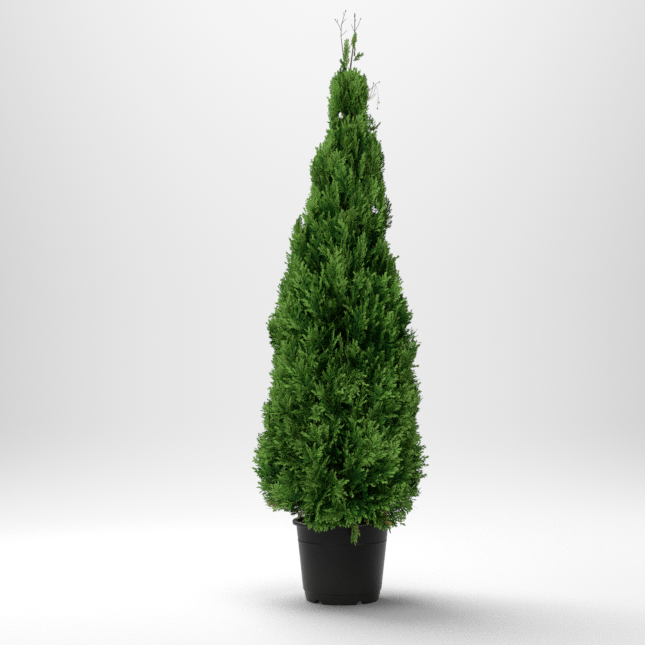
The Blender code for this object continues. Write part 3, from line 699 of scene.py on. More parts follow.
def crown_radius(bearing, height):
    """The crown's radius, for one bearing and height or for arrays of them."""
    return np.interp(height, *np.transpose(PROFILE), left=0, right=0) + bulged(bearing, height, BULGES)


def bearing_of(point):
    return math.degrees(math.atan2(point.y, point.x - stem_axis(point.z).x))


def distance_out(point):
    return (point - stem_axis(point.z)).length


class Mass:
    """One mass of foliage: its bearing, its middle and the rule's settings for it."""

    def __init__(self, tier, turn, bearing, spacing):
        name, height, count, _, length = TIERS[tier]
        self.node = f"foliage_{name}_{COMPASS[round(bearing / 45) % 8]}"
        self.rank = tier / (len(TIERS) - 1)
        self.bearing = bearing
        self.outward = bearing_vector(bearing)
        self.reach = crown_radius(bearing, height)
        self.middle = stem_axis(height) + self.outward * self.reach * MIDDLE_SHARE
        self.length = length
        self.spacing = spacing
        self.sector = 360 / count
        self.seed = 100 * tier + turn
        self.neighbours = []

    def holds(self, point):
        axis = stem_axis(point.z)
        if (point - axis).dot(self.outward) < stem_radius(max(point.z, STEM_FOOT)) + LIMB_MARGIN:
            return False
        return all((point - foot).dot(normal) < -SPACE_MARGIN for foot, normal in self.neighbours)


def part_spaces(masses):
    for one in masses:
        for other in masses:
            if other is one:
                continue
            apart = other.middle - one.middle
            between = one.outward + other.outward
            lean = between.normalized() * UPSWEEP if between.length > 0.6 else Vector()
            normal = (UP - lean) * apart.z + Vector((apart.x, apart.y, 0))
            one.neighbours.append(((one.middle + other.middle) / 2, normal.normalized()))


def crown_masses():
    masses = []
    for tier, (_, height, count, first, _) in enumerate(TIERS):
        above = TIERS[tier + 1][1] if tier + 1 < len(TIERS) else height + TOP_SPACING
        for turn in range(count):
            masses.append(Mass(tier, turn, first + 360 / count * turn, above - height))
    part_spaces(masses)
    return masses


def mass_stem(mass):
    rise = UPSWEEP * mass.reach * MIDDLE_SHARE
    foot = max(mass.middle.z - rise, LOWEST_FOOT)
    start = off_bark(foot, mass.outward, MASS_STEM_RADIUS)
    knee = start + mass.outward * mass.reach * KNEE_SHARE
    end = mass.middle + (mass.outward + UP * UPSWEEP) * mass.reach * END_SHARE
    return start, knee, end


def level_range(mass, bearing):
    """The lowest and the highest level at which the mass holds the crown's outer part."""
    levels = []
    for step in range(-40, 60):
        level = mass.middle.z + step * LEVEL_STEP
        if mass.holds(stem_axis(level) + bearing_vector(bearing) * crown_radius(bearing, level) * 0.92):
            levels.append(level)
    return (levels[0], levels[-1]) if levels else (mass.middle.z, mass.middle.z)


# Finer growth


def around(rng, size):
    """A short random way in space."""
    return Vector([rng.gauss(0, size) for _ in range(3)])


def swell(bearing, height):
    """Plumes and hollows of the crown's surface, about -1 to 1."""
    share = min(max(height - SWELL_FROM, 0) / SWELL_CHANGE, 1)
    wide, tall = mix(*SWELL_WIDE, share), mix(*SWELL_TALL, share)
    spot = bearing_vector(bearing) * crown_radius(bearing, height) / wide + UP * height / tall
    return max(min(noise.noise(spot) * 1.9, 1), -1)


def in_pot(point):
    return point.z < POT_HEIGHT + TWIG_CLEAR and math.hypot(point.x, point.y) < RIM_RADIUS + TWIG_CLEAR


def surface_at(bearing, height):
    """The surface that the fine growth keeps to."""
    height = np.minimum(height, CREST_LEVEL)
    return crown_radius(bearing, height) + bulged(bearing, height, TRIMS)


class Frond:
    """A flat frond: its foot, its way, its plane, its length, its tone and how it spreads."""

    low = 0.0  # nothing of it is below this
    coarse = 1.0
    bound = 9.0  # of the crown's radius, and this one holds nothing in

    def __init__(self, foot, tip, facing, tone, wide, narrow, breadth, dry):
        self.foot = foot
        self.length = (tip - foot).length
        self.heading = (tip - foot).normalized()
        self.facing = facing
        self.tone = tone
        self.wide, self.narrow, self.breadth, self.dry = wide, narrow, breadth, dry


class Shoot(Frond):
    """A twig out of a mass's stem, and the frond that it ends in."""

    def __init__(self, mass, stem, bearing, level, layer, rng):
        outward = bearing_vector(bearing)
        lift = min(mass.rank * 1.7, 1)
        length = mass.length * mix(*FROND_SHARE, mass.rank) * rng.uniform(0.82, 1.16)
        rise = rng.gauss(mix(*SHOOT_RISE, lift), mix(*SHOOT_RISE_SPREAD, lift))
        lean = rng.gauss(0, mix(*SHOOT_LEAN_SPREAD, lift))
        heading = (outward * mix(*SHOOT_OUT, lift) + UP * rise + outward.cross(UP) * lean).normalized()
        raised = swell(bearing, level)
        level = min(level, CREST_TOP - rng.uniform(0, 0.03))
        surface = surface_at(bearing, level)
        bound = (1 + SWELL * (raised - 0.55) / surface) * rng.uniform(0.94, 1.0)
        depth = rng.uniform(*LAYERS[layer][:2]) if layer else bound
        tip = stem_axis(level) + outward * max(surface * depth - SPREAD_PAST, 0.020)
        square = (outward - heading * outward.dot(heading)).normalized()
        turn = math.radians(rng.choice((-1, 1)) * rng.uniform(15, 100))
        facing = square * math.cos(turn) + heading.cross(square) * math.sin(turn)
        tone = mix(*SHOOT_TONE, mass.rank) + CREST_TONE * max(mass.rank - CREST_RANK, 0)
        # Painted light on the plumes and painted shade in the hollows, with some random tone
        tone = tone + PLUME_AND_HOLLOW_PAINTED_SHADING * raised + rng.gauss(0, TONE_SPREAD)
        dry = DRYNESS if level < DRY_BELOW and rng.random() < DRY_SHARE else 0.0
        fan = (mix(*ends, lift) for ends in (FAN_WIDE, FAN_NARROW, FAN_BREADTH))
        super().__init__(tip - heading * length, tip, facing, tone, *fan, dry)
        self.bound = bound
        self.low = float(np.interp((bearing + 180) % 360 - 180, *np.transpose(LOW_EDGE)))
        self.coarse = LAYERS[layer][2]
        slope = mix(*JOINT_SLOPE, mass.rank)
        foot = self.foot

        def off(spot):
            return abs(foot.z - spot.z - slope * math.hypot(foot.x - spot.x, foot.y - spot.y))

        self.joint = min(stem, key=off)
        straight = self.joint.lerp(foot, 0.5)
        self.bend = straight.lerp(foot - heading * 0.45 * (foot - self.joint).length, 0.5)

    def twig(self, count):
        return arc(self.joint, self.bend, self.foot, count) + [self.foot + self.heading * self.length * 0.9]


def shoots_of(mass):
    rng = random.Random(mass.seed)
    stem = arc(*mass_stem(mass), 13)[3:]
    thick = mix(*THICKNESS, min(mass.rank * 3, 1) ** 0.7) + CREST_THICKER * max(mass.rank - 0.6, 0) / 0.4
    count = round(mass.reach * math.radians(mass.sector) * mass.spacing * SHOOTS_PER_AREA * thick)
    shoots = []
    for number in range(count):
        share = (number + 0.5) / count
        turn = ((number * GOLDEN + 0.25 * rng.random()) % 1 - 0.5) * mass.sector * 1.06
        held = max(min(turn, 0.44 * mass.sector), -0.44 * mass.sector)
        low, high = level_range(mass, mass.bearing + held)
        level = mix(low - 0.02, high + 0.02, share + rng.uniform(-0.10, 0.10))
        shoots.append(Shoot(mass, stem, mass.bearing + turn, level, (0, 1, 0, 0, 2, 0)[number % 6], rng))
    for number in range(UNDER_SHOOTS if mass.rank == 0 else 0):
        turn = ((number + 0.5) / UNDER_SHOOTS - 0.5) * mass.sector
        shoots.append(Shoot(mass, stem, mass.bearing + turn, rng.uniform(0.29, 0.34), 1 + number % 2, rng))
    return [shoot for shoot in shoots if not any(in_pot(point) for point in shoot.twig(5))]


class Spray:
    """A flat spray of a frond: its foot, its way, the way it curls, its plane, its length and its tone."""

    def __init__(self, frond, foot, heading, curl, facing, length, tone):
        self.foot, self.heading, self.curl, self.facing = foot, heading, curl, facing
        self.length, self.tone = length, tone
        self.dry, self.low, self.coarse = frond.dry, frond.low, frond.coarse


def held_in(foot, heading, length, bound):
    """The heading, turned inwards where the spray would pass the crown's surface."""
    ahead = foot + heading * length
    excess = distance_out(ahead) + SPREAD_PAST - surface_at(bearing_of(ahead), ahead.z) * bound
    if excess < 0:
        return heading
    return (heading - bearing_vector(bearing_of(ahead)) * min(excess / length, 1.2)).normalized()


def sprays_of(fronds, seed):
    """The sprays of each frond: in pairs up both sides of its axis, and one at its end."""
    rng = random.Random(seed)
    sprays = []
    for frond in fronds:
        side = frond.heading.cross(frond.facing).normalized()
        droop = around(rng, 0.05) - UP * 0.04
        for number in range(FROND_SPRAYS):
            share = mix(*SPRAY_PLACES, number / (FROND_SPRAYS - 1))
            ending = number == FROND_SPRAYS - 1
            turn = 0 if ending else math.radians(mix(frond.wide, frond.narrow, share) + rng.gauss(0, 6))
            turn *= (-1) ** number
            heading = frond.heading * math.cos(turn) + side * math.sin(turn) + around(rng, 0.09)
            heading = heading.normalized()
            length = frond.length * (END_SPRAY if ending else mix(frond.breadth, END_SPRAY, share))
            length *= min(1, 0.72 + share * 1.6) * rng.uniform(0.88, 1.14)
            foot = frond.foot + (frond.heading * share + droop * share**2) * frond.length
            heading = held_in(foot, heading, length, frond.bound)
            curl = frond.heading * 0.22 * abs(math.sin(turn)) + droop
            tone = frond.tone + 0.20 * (share - 0.5) + rng.gauss(0, 0.17)
            facing = frond.facing + around(rng, 0.17)
            sprays.append(Spray(frond, foot, heading, curl, facing, length, tone))
    return sprays


# Twiglets


def leaflet(bm, foot, angle, length, width, outline):
    """A blunt scaly twiglet, folded along its ridge."""
    turn = Matrix.Rotation(angle, 3, "Z")
    low, tip = (bm.verts.new(foot + turn @ Vector((0, along * length, 0))) for along in (0, 1))
    for side in (-1, 1):
        edge = [Vector((side * half * width, along * length, -width / 5)) for half, along in outline]
        corners = [low] + [bm.verts.new(foot + turn @ spot) for spot in edge] + [tip]
        for one, two in zip(corners[1:], corners[2:]):
            bm.faces.new((low, two, one) if side < 0 else (low, one, two))


def sprig_template(sides, width, seed):
    """A sprig of unit length: a twiglet with side twiglets on its edges, as arrays."""
    rng = random.Random(seed)
    bm = bmesh.new()
    leaflet(bm, Vector(), 0, 1, width, TWIGLET_OUTLINE)
    for number in range(sides):
        side = (-1) ** (number + seed)
        angle = -side * math.radians(rng.uniform(18, 30))
        foot = Vector((0, rng.uniform(0.20, 0.46), -0.02))
        leaflet(bm, foot, angle, rng.uniform(0.42, 0.60), width * 0.9, SIDE_OUTLINE)
    bm.verts.index_update()
    corners = np.array([corner.co for corner in bm.verts])
    faces = np.array([[corner.index for corner in face.verts] for face in bm.faces])
    bm.free()
    return corners, faces


SPRIG_PLACES = [(kind, n) for kind, (count, *_) in enumerate(SPRIG_KINDS) for n in range(count)]
TEMPLATES = [
    [sprig_template(sides, width, seed) for seed in range(kinds)] for _, sides, width, kinds in SPRIG_KINDS
]


def unit(rows):
    return rows / np.linalg.norm(rows, axis=-1, keepdims=True)


def blocked(corners):
    """True for each copy that is in the pot, in a window to the sky or in a hollow."""
    x, y, z = corners[..., 0], corners[..., 1], corners[..., 2]
    touching = ((z < POT_HEIGHT + LEAF_CLEAR) & (np.hypot(x, y) < RIM_RADIUS + LEAF_CLEAR)).any(axis=-1)
    middle = corners.mean(axis=1)
    x, y, z = middle.T
    opened = np.zeros(len(middle), bool)
    for spot_x, spot_z, radius in WINDOWS:
        sight = (y - CAMERA_PLACE.y) / -CAMERA_PLACE.y
        off_x = x - mix(CAMERA_PLACE.x, spot_x, sight)
        off_z = z - mix(CAMERA_PLACE.z, spot_z, sight)
        turn = np.arctan2(off_z, off_x)
        ragged = radius * (1 + 0.22 * np.sin(3 * turn + 1) + 0.16 * np.sin(7 * turn + y * 40))
        opened |= np.hypot(off_x, off_z) < ragged
    for bearing, height, radius in POCKETS:
        spot = stem_axis(height) + bearing_vector(bearing) * crown_radius(bearing, height) * 0.95
        opened |= np.linalg.norm(middle - np.array(spot), axis=-1) < radius
    return touching | opened


def depth_of(spots):
    """How far each spot is inside the crown's surface."""
    x, y, z = spots.T
    x = x - SWEEP * np.clip((z - SWEEP_FROM) / (SWEEP_TO - SWEEP_FROM), 0, 1) ** 2
    return surface_at(np.degrees(np.arctan2(y, x)), z) - np.hypot(x, y)


def painted_light_and_shade_at(spots):
    """Painted light towards the crown's surface and beside the leaders, and painted shade towards the
    crown's inside.
    """
    lit = np.clip(SURFACE_PAINTED_LIGHT - depth_of(spots) / TONE_DEPTH, INSIDE_PAINTED_SHADE, SURFACE_PAINTED_LIGHT)
    return np.where(spots[:, 2] > LEADER_LEVEL, FREE_TUFT_PAINTED_LIGHT, lit)


def tones(values):
    """A finish number for each tone."""
    return (values[:, None] > np.array(TONE_STEPS)).sum(axis=1)


def leafwork(name, sprays, seed):
    """All the sprays of a mass as one joined mesh."""
    rng = np.random.default_rng(seed)
    joined = Joined()
    foot, heading, curl, facing, length, tone, dry, low, coarse = (
        np.array([getattr(spray, trait) for spray in sprays])
        for trait in ("foot", "heading", "curl", "facing", "length", "tone", "dry", "low", "coarse")
    )
    total = len(sprays)

    def line(share):
        """Points at the share of every spray's length, with their ways, sides and faces."""
        spot = foot + (heading * share + curl * share**2) * length[:, None]
        way = unit(heading + 2 * share * curl)
        side = unit(np.cross(way, facing))
        return spot, way, side, np.cross(side, way)

    rows = []
    for share in (0, 0.35, 0.7, 1):
        spot, _, side, _ = line(share)
        half = AXIS_WIDTH / 2 * (1.15 - share)
        rows += [spot - side * half, spot + side * half]
    ribbon = np.stack(rows, axis=1)
    halves = [(0, 1, 3), (0, 3, 2), (2, 3, 5), (2, 5, 4), (4, 5, 7), (4, 7, 6)]
    kept = ~blocked(ribbon) & (ribbon[..., 2].min(axis=1) > low)
    joined.add(ribbon[kept], np.array(halves), tones(tone[kept] - AXIS_DARKER))

    for place, (kind, _) in enumerate(SPRIG_PLACES):
        ending = place == len(SPRIG_PLACES) - 1
        share = 0.88 if ending else mix(SPRIG_FROM, SPRIG_TO, place / (len(SPRIG_PLACES) - 2))
        spot, way, side, face = line(share)
        turn = 0 if ending else np.radians(mix(*SPRIG_TURN, share) + rng.normal(0, 5, total))
        sign = (-1) ** (place + rng.integers(0, 2, total)[0])
        cup = rng.normal(0.06, 0.08, total)
        if ending:
            aim = way + face * cup[:, None] * 0.5
        else:
            aim = way * np.cos(turn)[:, None] + side * (sign * np.sin(turn))[:, None] + face * cup[:, None]
        aim = unit(aim)
        tilt = rng.normal(0, 0.16, total)[:, None]
        over = unit(np.cross(aim, np.cross(face, aim)))
        over = unit(over * np.cos(tilt) + np.cross(aim, over) * np.sin(tilt))
        shape = END_SPRIG_LENGTH if ending else SPRIG_LENGTH * (1 - share) ** 0.7 * min(1, 0.60 + share * 3)
        size = (length * shape + LEAST_SPRIG) * coarse * rng.uniform(0.86, 1.16, total)
        frames = np.stack([np.cross(aim, over), aim, over], axis=1) * size[:, None, None]
        pick = rng.integers(0, len(TEMPLATES[kind]), total)
        # The sprig's own tone, lighter towards the spray's tip, plus painted light near the crown's surface
        # and painted shade deeper in
        light = tone + 0.56 * share - 0.18 + painted_light_and_shade_at(spot + aim * size[:, None])
        light = tones(light + (0.14 if ending else 0) + rng.normal(0, 0.13, total))
        light = np.where(rng.uniform(0, 1, total) < dry * share, len(LEAF_TONES) - 1, light)
        for number, (corners, faces) in enumerate(TEMPLATES[kind]):
            mine = pick == number
            copies = np.einsum("vc,ncd->nvd", corners, frames[mine]) + spot[mine][:, None]
            within = (depth_of(copies.mean(axis=1)) > -PAST_SURFACE) | (low[mine] == 0)
            clear = ~blocked(copies) & kept[mine] & (copies[..., 2].min(axis=1) > low[mine]) & within
            joined.add(copies[clear], faces, light[mine][clear])
    return joined.made(name)


def twigwork(name, lines, sides=3):
    """Tapering twigs as one joined mesh. Each line is points, a first and a last radius, and a finish."""
    joined = Joined()
    turns = 2 * np.pi * np.arange(sides) / sides
    for points, thick, thin, finish in lines:
        points = np.array(points)
        ways = unit(np.gradient(points, axis=0))
        side = unit(np.cross(ways, (0.31, 0.17, 0.94)))
        over = np.cross(ways, side)
        radius = np.linspace(thick, thin, len(points))[:, None, None]
        ring = side[:, None] * np.cos(turns)[:, None] + over[:, None] * np.sin(turns)[:, None]
        corners = (points[:, None] + ring * radius).reshape(1, -1, 3)
        faces = []
        for step in range(len(points) - 1):
            for corner in range(sides):
                a, b = step * sides + corner, step * sides + (corner + 1) % sides
                faces += [(a, b, b + sides), (a, b + sides, a + sides)]
        last = (len(points) - 1) * sides
        faces += [(0, n + 1, n) for n in range(1, sides - 1)]
        faces += [(last, last + n, last + n + 1) for n in range(1, sides - 1)]
        if not blocked(corners)[0]:
            joined.add(corners, np.array(faces), np.array([finish]))
    return joined.made(name)


# Trunk and boughs with their bark's relief


def relief_limb(name, points, radii, sides, rings, relief, grain):
    """A limb through the points, its surface raised in long ridges."""
    bm = bmesh.new()
    bmesh.ops.create_grid(bm, x_segments=sides, y_segments=rings, size=0.5)
    spans = len(points) - 1
    for corner in bm.verts:
        turn = (corner.co.x + 0.5) % 1 * 2 * math.pi
        along = min(max(corner.co.y + 0.5, 0), 1) * spans
        span = min(int(along), spans - 1)
        axis = points[span].lerp(points[span + 1], along - span)
        radius = mix(radii[span], radii[span + 1], along - span)
        way = (points[span + 1] - points[span]).normalized()
        side = way.cross(Vector((0, 1, 0.01))).normalized()
        out = side * math.cos(turn) + way.cross(side) * math.sin(turn)
        spot = Vector((math.cos(turn) * 2.6, math.sin(turn) * 2.6, along * grain))
        raised = noise.noise(spot) + 0.5 * noise.noise(spot * 2.3)
        corner.co = axis + out * radius * (1 + relief * raised)
    bmesh.ops.remove_doubles(bm, verts=bm.verts, dist=1e-6)
    ends = [edge for edge in bm.edges if edge.is_boundary]
    bmesh.ops.holes_fill(bm, edges=ends, sides=0)
    bmesh.ops.recalc_face_normals(bm, faces=bm.faces)
    for face in bm.faces:
        face.smooth = True
    return mesh_object(name, bm)


def side_limb(fork, tip, bend_out, bend_up, thick, thin, count):
    """The points and radii of a limb from its fork on the stem to its tip."""
    tip = Vector(tip)
    level = Vector((tip.x - stem_axis(fork).x, tip.y, 0)).normalized()
    start = off_bark(fork, level, thick)
    first = start + level * LIMB_START
    bend = first + level * bend_out + UP * bend_up
    points = [start] + arc(first, bend, tip, count)
    return points, [mix(thick, thin, n / count) for n in range(count + 1)]


# Pot and soil


def wall_radius(height):
    return mix(STEP_RADIUS + 0.002, NECK_RADIUS, (height - STEP_HEIGHT) / (NECK_HEIGHT - STEP_HEIGHT))


def spun(name, profile, rounding, segments):
    """A profile of (radius, height) points, its corners rounded, turned about Z."""
    bm = bmesh.new()
    corners = [bm.verts.new((radius, 0, height)) for radius, height in profile]
    for one, two in zip(corners, corners[1:]):
        bm.edges.new((one, two))
    if rounding:
        bmesh.ops.bevel(
            bm,
            geom=corners[1:-1],
            offset=rounding,
            offset_type="OFFSET",
            affect="VERTICES",
            segments=segments,
            profile=0.5,
            material=-1,
        )
    bmesh.ops.spin(
        bm,
        geom=bm.verts[:] + bm.edges[:],
        axis=(0, 0, 1),
        cent=(0, 0, 0),
        steps=TURN_STEPS,
        angle=2 * math.pi,
        use_merge=True,
    )
    bmesh.ops.remove_doubles(bm, verts=bm.verts, dist=1e-5)
    bmesh.ops.recalc_face_normals(bm, faces=bm.faces)
    return mesh_object(name, bm)


def notch_cutter(bearing, width, height, sides, cutters):
    bm = bmesh.new()
    inner, outer = FOOT_RING_INSIDE - 0.008, BASE_RADIUS + 0.02
    place = (
        Matrix.Rotation(math.radians(bearing), 4, "Z")
        @ Matrix.Translation(((inner + outer) / 2, 0, -0.0005))
        @ Matrix.Diagonal((1, width / 2, height, 1))
        @ Matrix.Rotation(math.radians(90), 4, "Y")
    )
    bmesh.ops.create_cone(
        bm, cap_ends=True, segments=sides, radius1=1, radius2=1, depth=outer - inner, matrix=place
    )
    made = mesh_object("notch", bm)
    bpy.context.scene.collection.objects.unlink(made)
    cutters.objects.link(made)


def make_pot(plastic):
    inner_floor = wall_radius(STEP_HEIGHT) - WALL - 0.006
    bead = wall_radius(BEAD_HEIGHT)
    profile = (
        (0, FLOOR_HEIGHT),
        (inner_floor, FLOOR_HEIGHT),
        (wall_radius(STEP_HEIGHT) - WALL, STEP_HEIGHT),
        (NECK_RADIUS - WALL, NECK_HEIGHT),
        (NECK_RADIUS - WALL + 0.002, POT_HEIGHT - 0.004),
        (NECK_RADIUS + 0.001, POT_HEIGHT),
        (RIM_RADIUS - 0.003, POT_HEIGHT),
        (RIM_RADIUS, POT_HEIGHT - 0.003),
        (RIM_RADIUS - 0.001, RIM_FOOT + 0.001),
        (RIM_RADIUS - 0.001 - RIM_LIP, RIM_FOOT),
        (NECK_RADIUS + 0.001, RIM_FOOT),
        (NECK_RADIUS, NECK_HEIGHT),
        (bead + BEAD_FOOT, BEAD_HEIGHT + 2 * BEAD_HALF),
        (bead + BEAD, BEAD_HEIGHT + BEAD_HALF),
        (bead + BEAD, BEAD_HEIGHT - BEAD_HALF),
        (bead - BEAD_FOOT, BEAD_HEIGHT - 2 * BEAD_HALF),
        (wall_radius(STEP_HEIGHT), STEP_HEIGHT),
        (STEP_RADIUS - 0.001, STEP_HEIGHT - 0.003),
        (BASE_RADIUS, 0.004),
        (BASE_RADIUS - 0.003, 0),
        (FOOT_RING_INSIDE, 0),
        (FOOT_RING_INSIDE - 0.002, FLOOR_HEIGHT - FLOOR_THICKNESS),
        (HUB_RADIUS + 0.002, FLOOR_HEIGHT - FLOOR_THICKNESS),
        (HUB_RADIUS, 0),
        (0, 0),
    )
    made = spun("pot_shell", profile, POT_ROUNDING, 3)
    cutters = bpy.data.collections.new("cutters")
    bpy.context.scene.collection.children.link(cutters)
    for number in range(ARCHES):
        bearing = ARCH_BEARING + 360 / ARCHES * number
        notch_cutter(bearing, ARCH_WIDTH, ARCH_HEIGHT, 28, cutters)
        for slot in range(SLOTS_BETWEEN):
            off = 360 / ARCHES * (slot + 1) / (SLOTS_BETWEEN + 1)
            notch_cutter(bearing + off, SLOT_WIDTH, SLOT_HEIGHT, 12, cutters)
    cut = made.modifiers.new("Notches", "BOOLEAN")
    cut.operation = "DIFFERENCE"
    cut.operand_type = "COLLECTION"
    cut.collection = cutters
    graph = bpy.context.evaluated_depsgraph_get()
    graph.update()
    made.data = bpy.data.meshes.new_from_object(made.evaluated_get(graph))
    made.modifiers.clear()
    for cutter in list(cutters.objects):
        bpy.data.objects.remove(cutter)
    bpy.data.collections.remove(cutters)
    made.data.shade_smooth()
    made.data.set_sharp_from_angle(angle=math.radians(32))
    return finished(made, "pot_plastic", ["pot"], plastic)


def soil_level(radius):
    if radius < SOIL_FLAT_RADIUS:
        return SOIL_HEIGHT
    return SOIL_HEIGHT - SOIL_SAG * min((radius - SOIL_FLAT_RADIUS) / 0.1, 1)


def make_soil(peat):
    inner_floor = wall_radius(STEP_HEIGHT) - WALL - 0.006
    top = SOIL_HEIGHT - SOIL_SAG
    wall = mix(wall_radius(STEP_HEIGHT), NECK_RADIUS, (top - STEP_HEIGHT) / (NECK_HEIGHT - STEP_HEIGHT))
    rings = [number * SOIL_RING for number in range(SOIL_RINGS)]
    profile = [(radius, soil_level(radius)) for radius in rings if radius < wall - WALL - 0.003]
    profile += [
        (wall - WALL - SEAT, top),
        (wall_radius(STEP_HEIGHT) - WALL - SEAT, STEP_HEIGHT),
        (inner_floor - SEAT, FLOOR_HEIGHT + SEAT),
        (0, FLOOR_HEIGHT + SEAT),
    ]
    made = spun("soil_bed", profile, 0, 1)
    for corner in made.data.vertices:
        far = math.hypot(corner.co.x, corner.co.y)
        if corner.co.z > top - 0.001 and far < wall - WALL - 0.001:
            raised = noise.noise(corner.co * 90) * 0.0022 + noise.noise(corner.co * 260) * 0.0012
            corner.co.z += raised * min(1, far / 0.03)
    made.data.shade_smooth()
    return finished(made, "peat", ["soil"], peat)


def make_litter(finishes):
    """Crumbs of peat and bark, and dry fallen scales, on the soil."""
    rng = np.random.default_rng(77)
    bm = bmesh.new()
    bmesh.ops.create_icosphere(bm, subdivisions=1, radius=1)
    bmesh.ops.triangulate(bm, faces=bm.faces)
    bm.verts.index_update()
    crumb = np.array([corner.co for corner in bm.verts])
    faces = np.array([[corner.index for corner in face.verts] for face in bm.faces])
    bm.free()
    near, rim = CRUMB_PLACES
    far = np.sqrt(rng.uniform(near**2, rim**2, CRUMBS))
    turn = rng.uniform(0, 2 * np.pi, CRUMBS)
    height = np.array([soil_level(one) for one in far])
    size = rng.uniform(*CRUMB_SIZES, (CRUMBS, 1, 1)) * rng.uniform(0.5, 1.2, (CRUMBS, 1, 3))
    size[..., 2] *= 0.6
    spin = rng.uniform(0, 2 * np.pi, CRUMBS)
    corners = crumb[None] * size * (1 + 0.15 * rng.standard_normal((CRUMBS, len(crumb), 1)))
    x = corners[..., 0] * np.cos(spin)[:, None] - corners[..., 1] * np.sin(spin)[:, None]
    y = corners[..., 0] * np.sin(spin)[:, None] + corners[..., 1] * np.cos(spin)[:, None]
    corners = np.stack([x, y, corners[..., 2]], axis=-1)
    spot = np.stack([far * np.cos(turn), far * np.sin(turn), height + 0.0006], axis=1)
    joined = Joined()
    joined.add(corners + spot[:, None], faces, rng.choice(len(finishes), CRUMBS, p=CRUMB_SHARES))
    return finished(joined.made("soil_crumbs"), "peat", [], *finishes)


# Finishes


def plastic_finish():
    made = Finish("black moulded plastic", Metallic=0.0, Specular_IOR_Level=0.18)
    cloud = made.noise(9, 4, 0.6)
    dust = made.noise(38, 5, 0.7, (1, 1, 0.6)).between(0.52, 0.78)
    fine = made.noise(900, 2, 0.5)
    scuff = made.noise(60, 3, 0.6, (1, 1, 7)).between(0.60, 0.80)
    height = made.node("ShaderNodeSeparateXYZ", {}, {0: made.place()}, 2)
    # Painted shade: the wall is darker upwards, under the crown, and lighter towards its foot as painted
    # light from the floor
    upper_painted_shade = height.between(0.0, 0.19)
    base = made.blend(cloud, (0.0022, 0.0022, 0.0020), (0.0040, 0.0040, 0.0037))
    base = made.blend(0.75 - 0.75 * upper_painted_shade, base, (0.0190, 0.0190, 0.0178))
    # The rim's top: patchy wear, and a painted highlight of the bright surroundings on it
    rim_wear_and_highlight = height.between(POT_HEIGHT - 0.0035, POT_HEIGHT - 0.0010)
    base = made.blend(rim_wear_and_highlight * (0.35 + 0.60 * dust), base, (0.620, 0.620, 0.600))
    # Dust and scuffs, with fewer light marks upwards as part of the painted shade
    marked = 0.20 * dust + 0.14 * scuff - 0.16 * upper_painted_shade
    made.set("Base Color", made.blend(marked, base, (0.040, 0.038, 0.034)))
    made.set("Roughness", 0.30 + 0.08 * cloud + 0.14 * dust)
    made.set("Normal", made.bump(0.7 * fine + 0.3 * cloud, 0.00012, 0.35))
    return made


def bark_finish():
    made = Finish("fibrous bark", Metallic=0.0)
    strands = made.noise(260, 5, 0.65, (1, 1, 0.08))
    patch = made.noise(34, 3, 0.6, (1, 1, 0.5))
    stops = ((0.25, (0.045, 0.026, 0.017)), (0.5, (0.150, 0.088, 0.055)), (0.8, (0.300, 0.200, 0.135)))
    base = made.node("ShaderNodeValToRGB", {"stops": stops}, {"Fac": strands})
    made.set("Base Color", made.blend(0.45 * patch, base, (0.170, 0.120, 0.085)))
    made.set("Roughness", 0.80 + 0.12 * patch)
    made.set("Normal", made.bump(strands, 0.0012, 0.8))
    return made


def peat_finish():
    made = Finish("damp peat", Metallic=0.0)
    crumbs = made.noise(210, 5, 0.7)
    patch = made.noise(30, 3, 0.6)
    base = made.blend(crumbs.between(0.35, 0.7), (0.012, 0.007, 0.004), (0.060, 0.036, 0.022))
    made.set("Base Color", made.blend(0.4 * patch, base, (0.035, 0.022, 0.014)))
    made.set("Roughness", 0.85 + 0.1 * patch)
    made.set("Normal", made.bump(crumbs, 0.0016, 0.9))
    return made


def plain(name, colour, roughness=0.60, gloss=0.05):
    return Finish(name, Base_Color=colour, Roughness=roughness, Specular_IOR_Level=gloss)


make_camera()
bpy.context.scene.view_settings.view_transform = "Standard"
bpy.context.scene.cycles.use_denoising = False
make_lights(make_floor())
make_world()

plastic, bark, peat = plastic_finish(), bark_finish(), peat_finish()
# Plain leaf colours dealt out by tone; the tone includes painted light and shade, so the darkest colours
# mostly stand for painted shade inside the crown
LEAF_TONES = (
    plain("leaf in deep shade", (0.006, 0.045, 0.006)),
    plain("leaf in shade", (0.015, 0.086, 0.011)),
    plain("leaf dark green", (0.031, 0.122, 0.014)),
    plain("leaf green", (0.057, 0.184, 0.018)),
    plain("leaf bright", (0.098, 0.256, 0.026)),
    plain("leaf young tip", (0.178, 0.362, 0.062)),
    plain("leaf dry tip", (0.300, 0.235, 0.080)),
)
TWIG_TONES = (
    plain("twig brown", (0.050, 0.028, 0.016), 0.8),
    plain("twig green", (0.040, 0.060, 0.015), 0.7),
)
LITTER = (
    peat,
    plain("bark crumb", (0.075, 0.045, 0.028), 0.9),
    plain("dry scale", (0.190, 0.130, 0.060), 0.8),
)

make_pot(plastic)
make_soil(peat)
make_litter(LITTER)

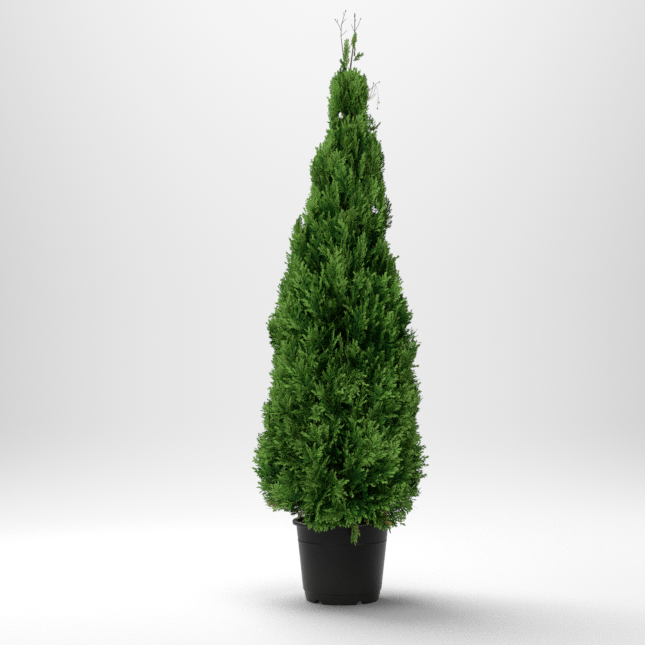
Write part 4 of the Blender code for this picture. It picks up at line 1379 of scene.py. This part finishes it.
axis = [Vector((x, 0, height)) for height, x, _ in STATIONS]
trunk = relief_limb("trunk_bark", axis, [radius for _, _, radius in STATIONS], *TRUNK_RELIEF)
finished(trunk, "bark", ["trunk"], bark)

for node_name, (name, *shape) in SIDE_LIMBS.items():
    limb = relief_limb(name + "_bark", *side_limb(*shape), *LIMB_RELIEF)
    finished(limb, "bark", [node_name], bark)

bare = plain("bare twig", (0.110, 0.060, 0.042), 0.8)
for node_name, lines in BARE_TWIGS.items():
    piece = twigwork("bare_" + node_name, [(*line, 0) for line in lines], 6)
    finished(piece, "bark", [node_name], bare)

aside = random.Random(41)
for name, fronds in LEADER_FRONDS.items():
    placed = []
    for foot, tip, tone in fronds:
        facing = (Vector((0, -1, 0)) + around(aside, 0.5)).normalized()
        frond = Frond(Vector(foot), Vector(tip), facing, tone, *LEADER_FAN, LEADER_DRYNESS)
        frond.coarse = LEADER_COARSE
        placed.append(frond)
    piece = leafwork("sprays_" + name, sprays_of(placed, LEADER_SEED), LEADER_SEED)
    finished(piece, "foliage", ["foliage_" + name], *LEAF_TONES)

masses = crown_masses()
for mass in masses:
    shoots = shoots_of(mass)
    start, knee, end = mass_stem(mass)
    hanging, lines = [], [(arc(start, knee, end, 9), MASS_STEM_RADIUS, MASS_TIP_RADIUS, 0)]
    for foot, tip, tone, dry in HANGING_FRONDS.get(mass.node, ()):
        foot, tip = Vector(foot), Vector(tip)
        facing = (Vector((0, -1, 0.3)) + around(aside, 0.5)).normalized()
        hanging.append(Frond(foot, tip, facing, tone, *HANGING_FAN, dry))
        over = knee.lerp(foot, 0.6) + UP * 0.03
        lines.append((arc(knee, over, foot, 6) + [foot.lerp(tip, 0.9)], TWIG_RADIUS, TWIG_TIP_RADIUS, 1))
    sprays = sprays_of(shoots + hanging, mass.seed + 5000)
    piece = leafwork(mass.node.replace("foliage", "sprays"), sprays, mass.seed)
    finished(piece, "foliage", [mass.node], *LEAF_TONES)
    lines += [(shoot.twig(5), TWIG_RADIUS, TWIG_TIP_RADIUS, 1) for shoot in shoots]
    twigs = twigwork(mass.node.replace("foliage", "twigs"), lines)
    finished(twigs, "bark", [mass.node], *TWIG_TONES)
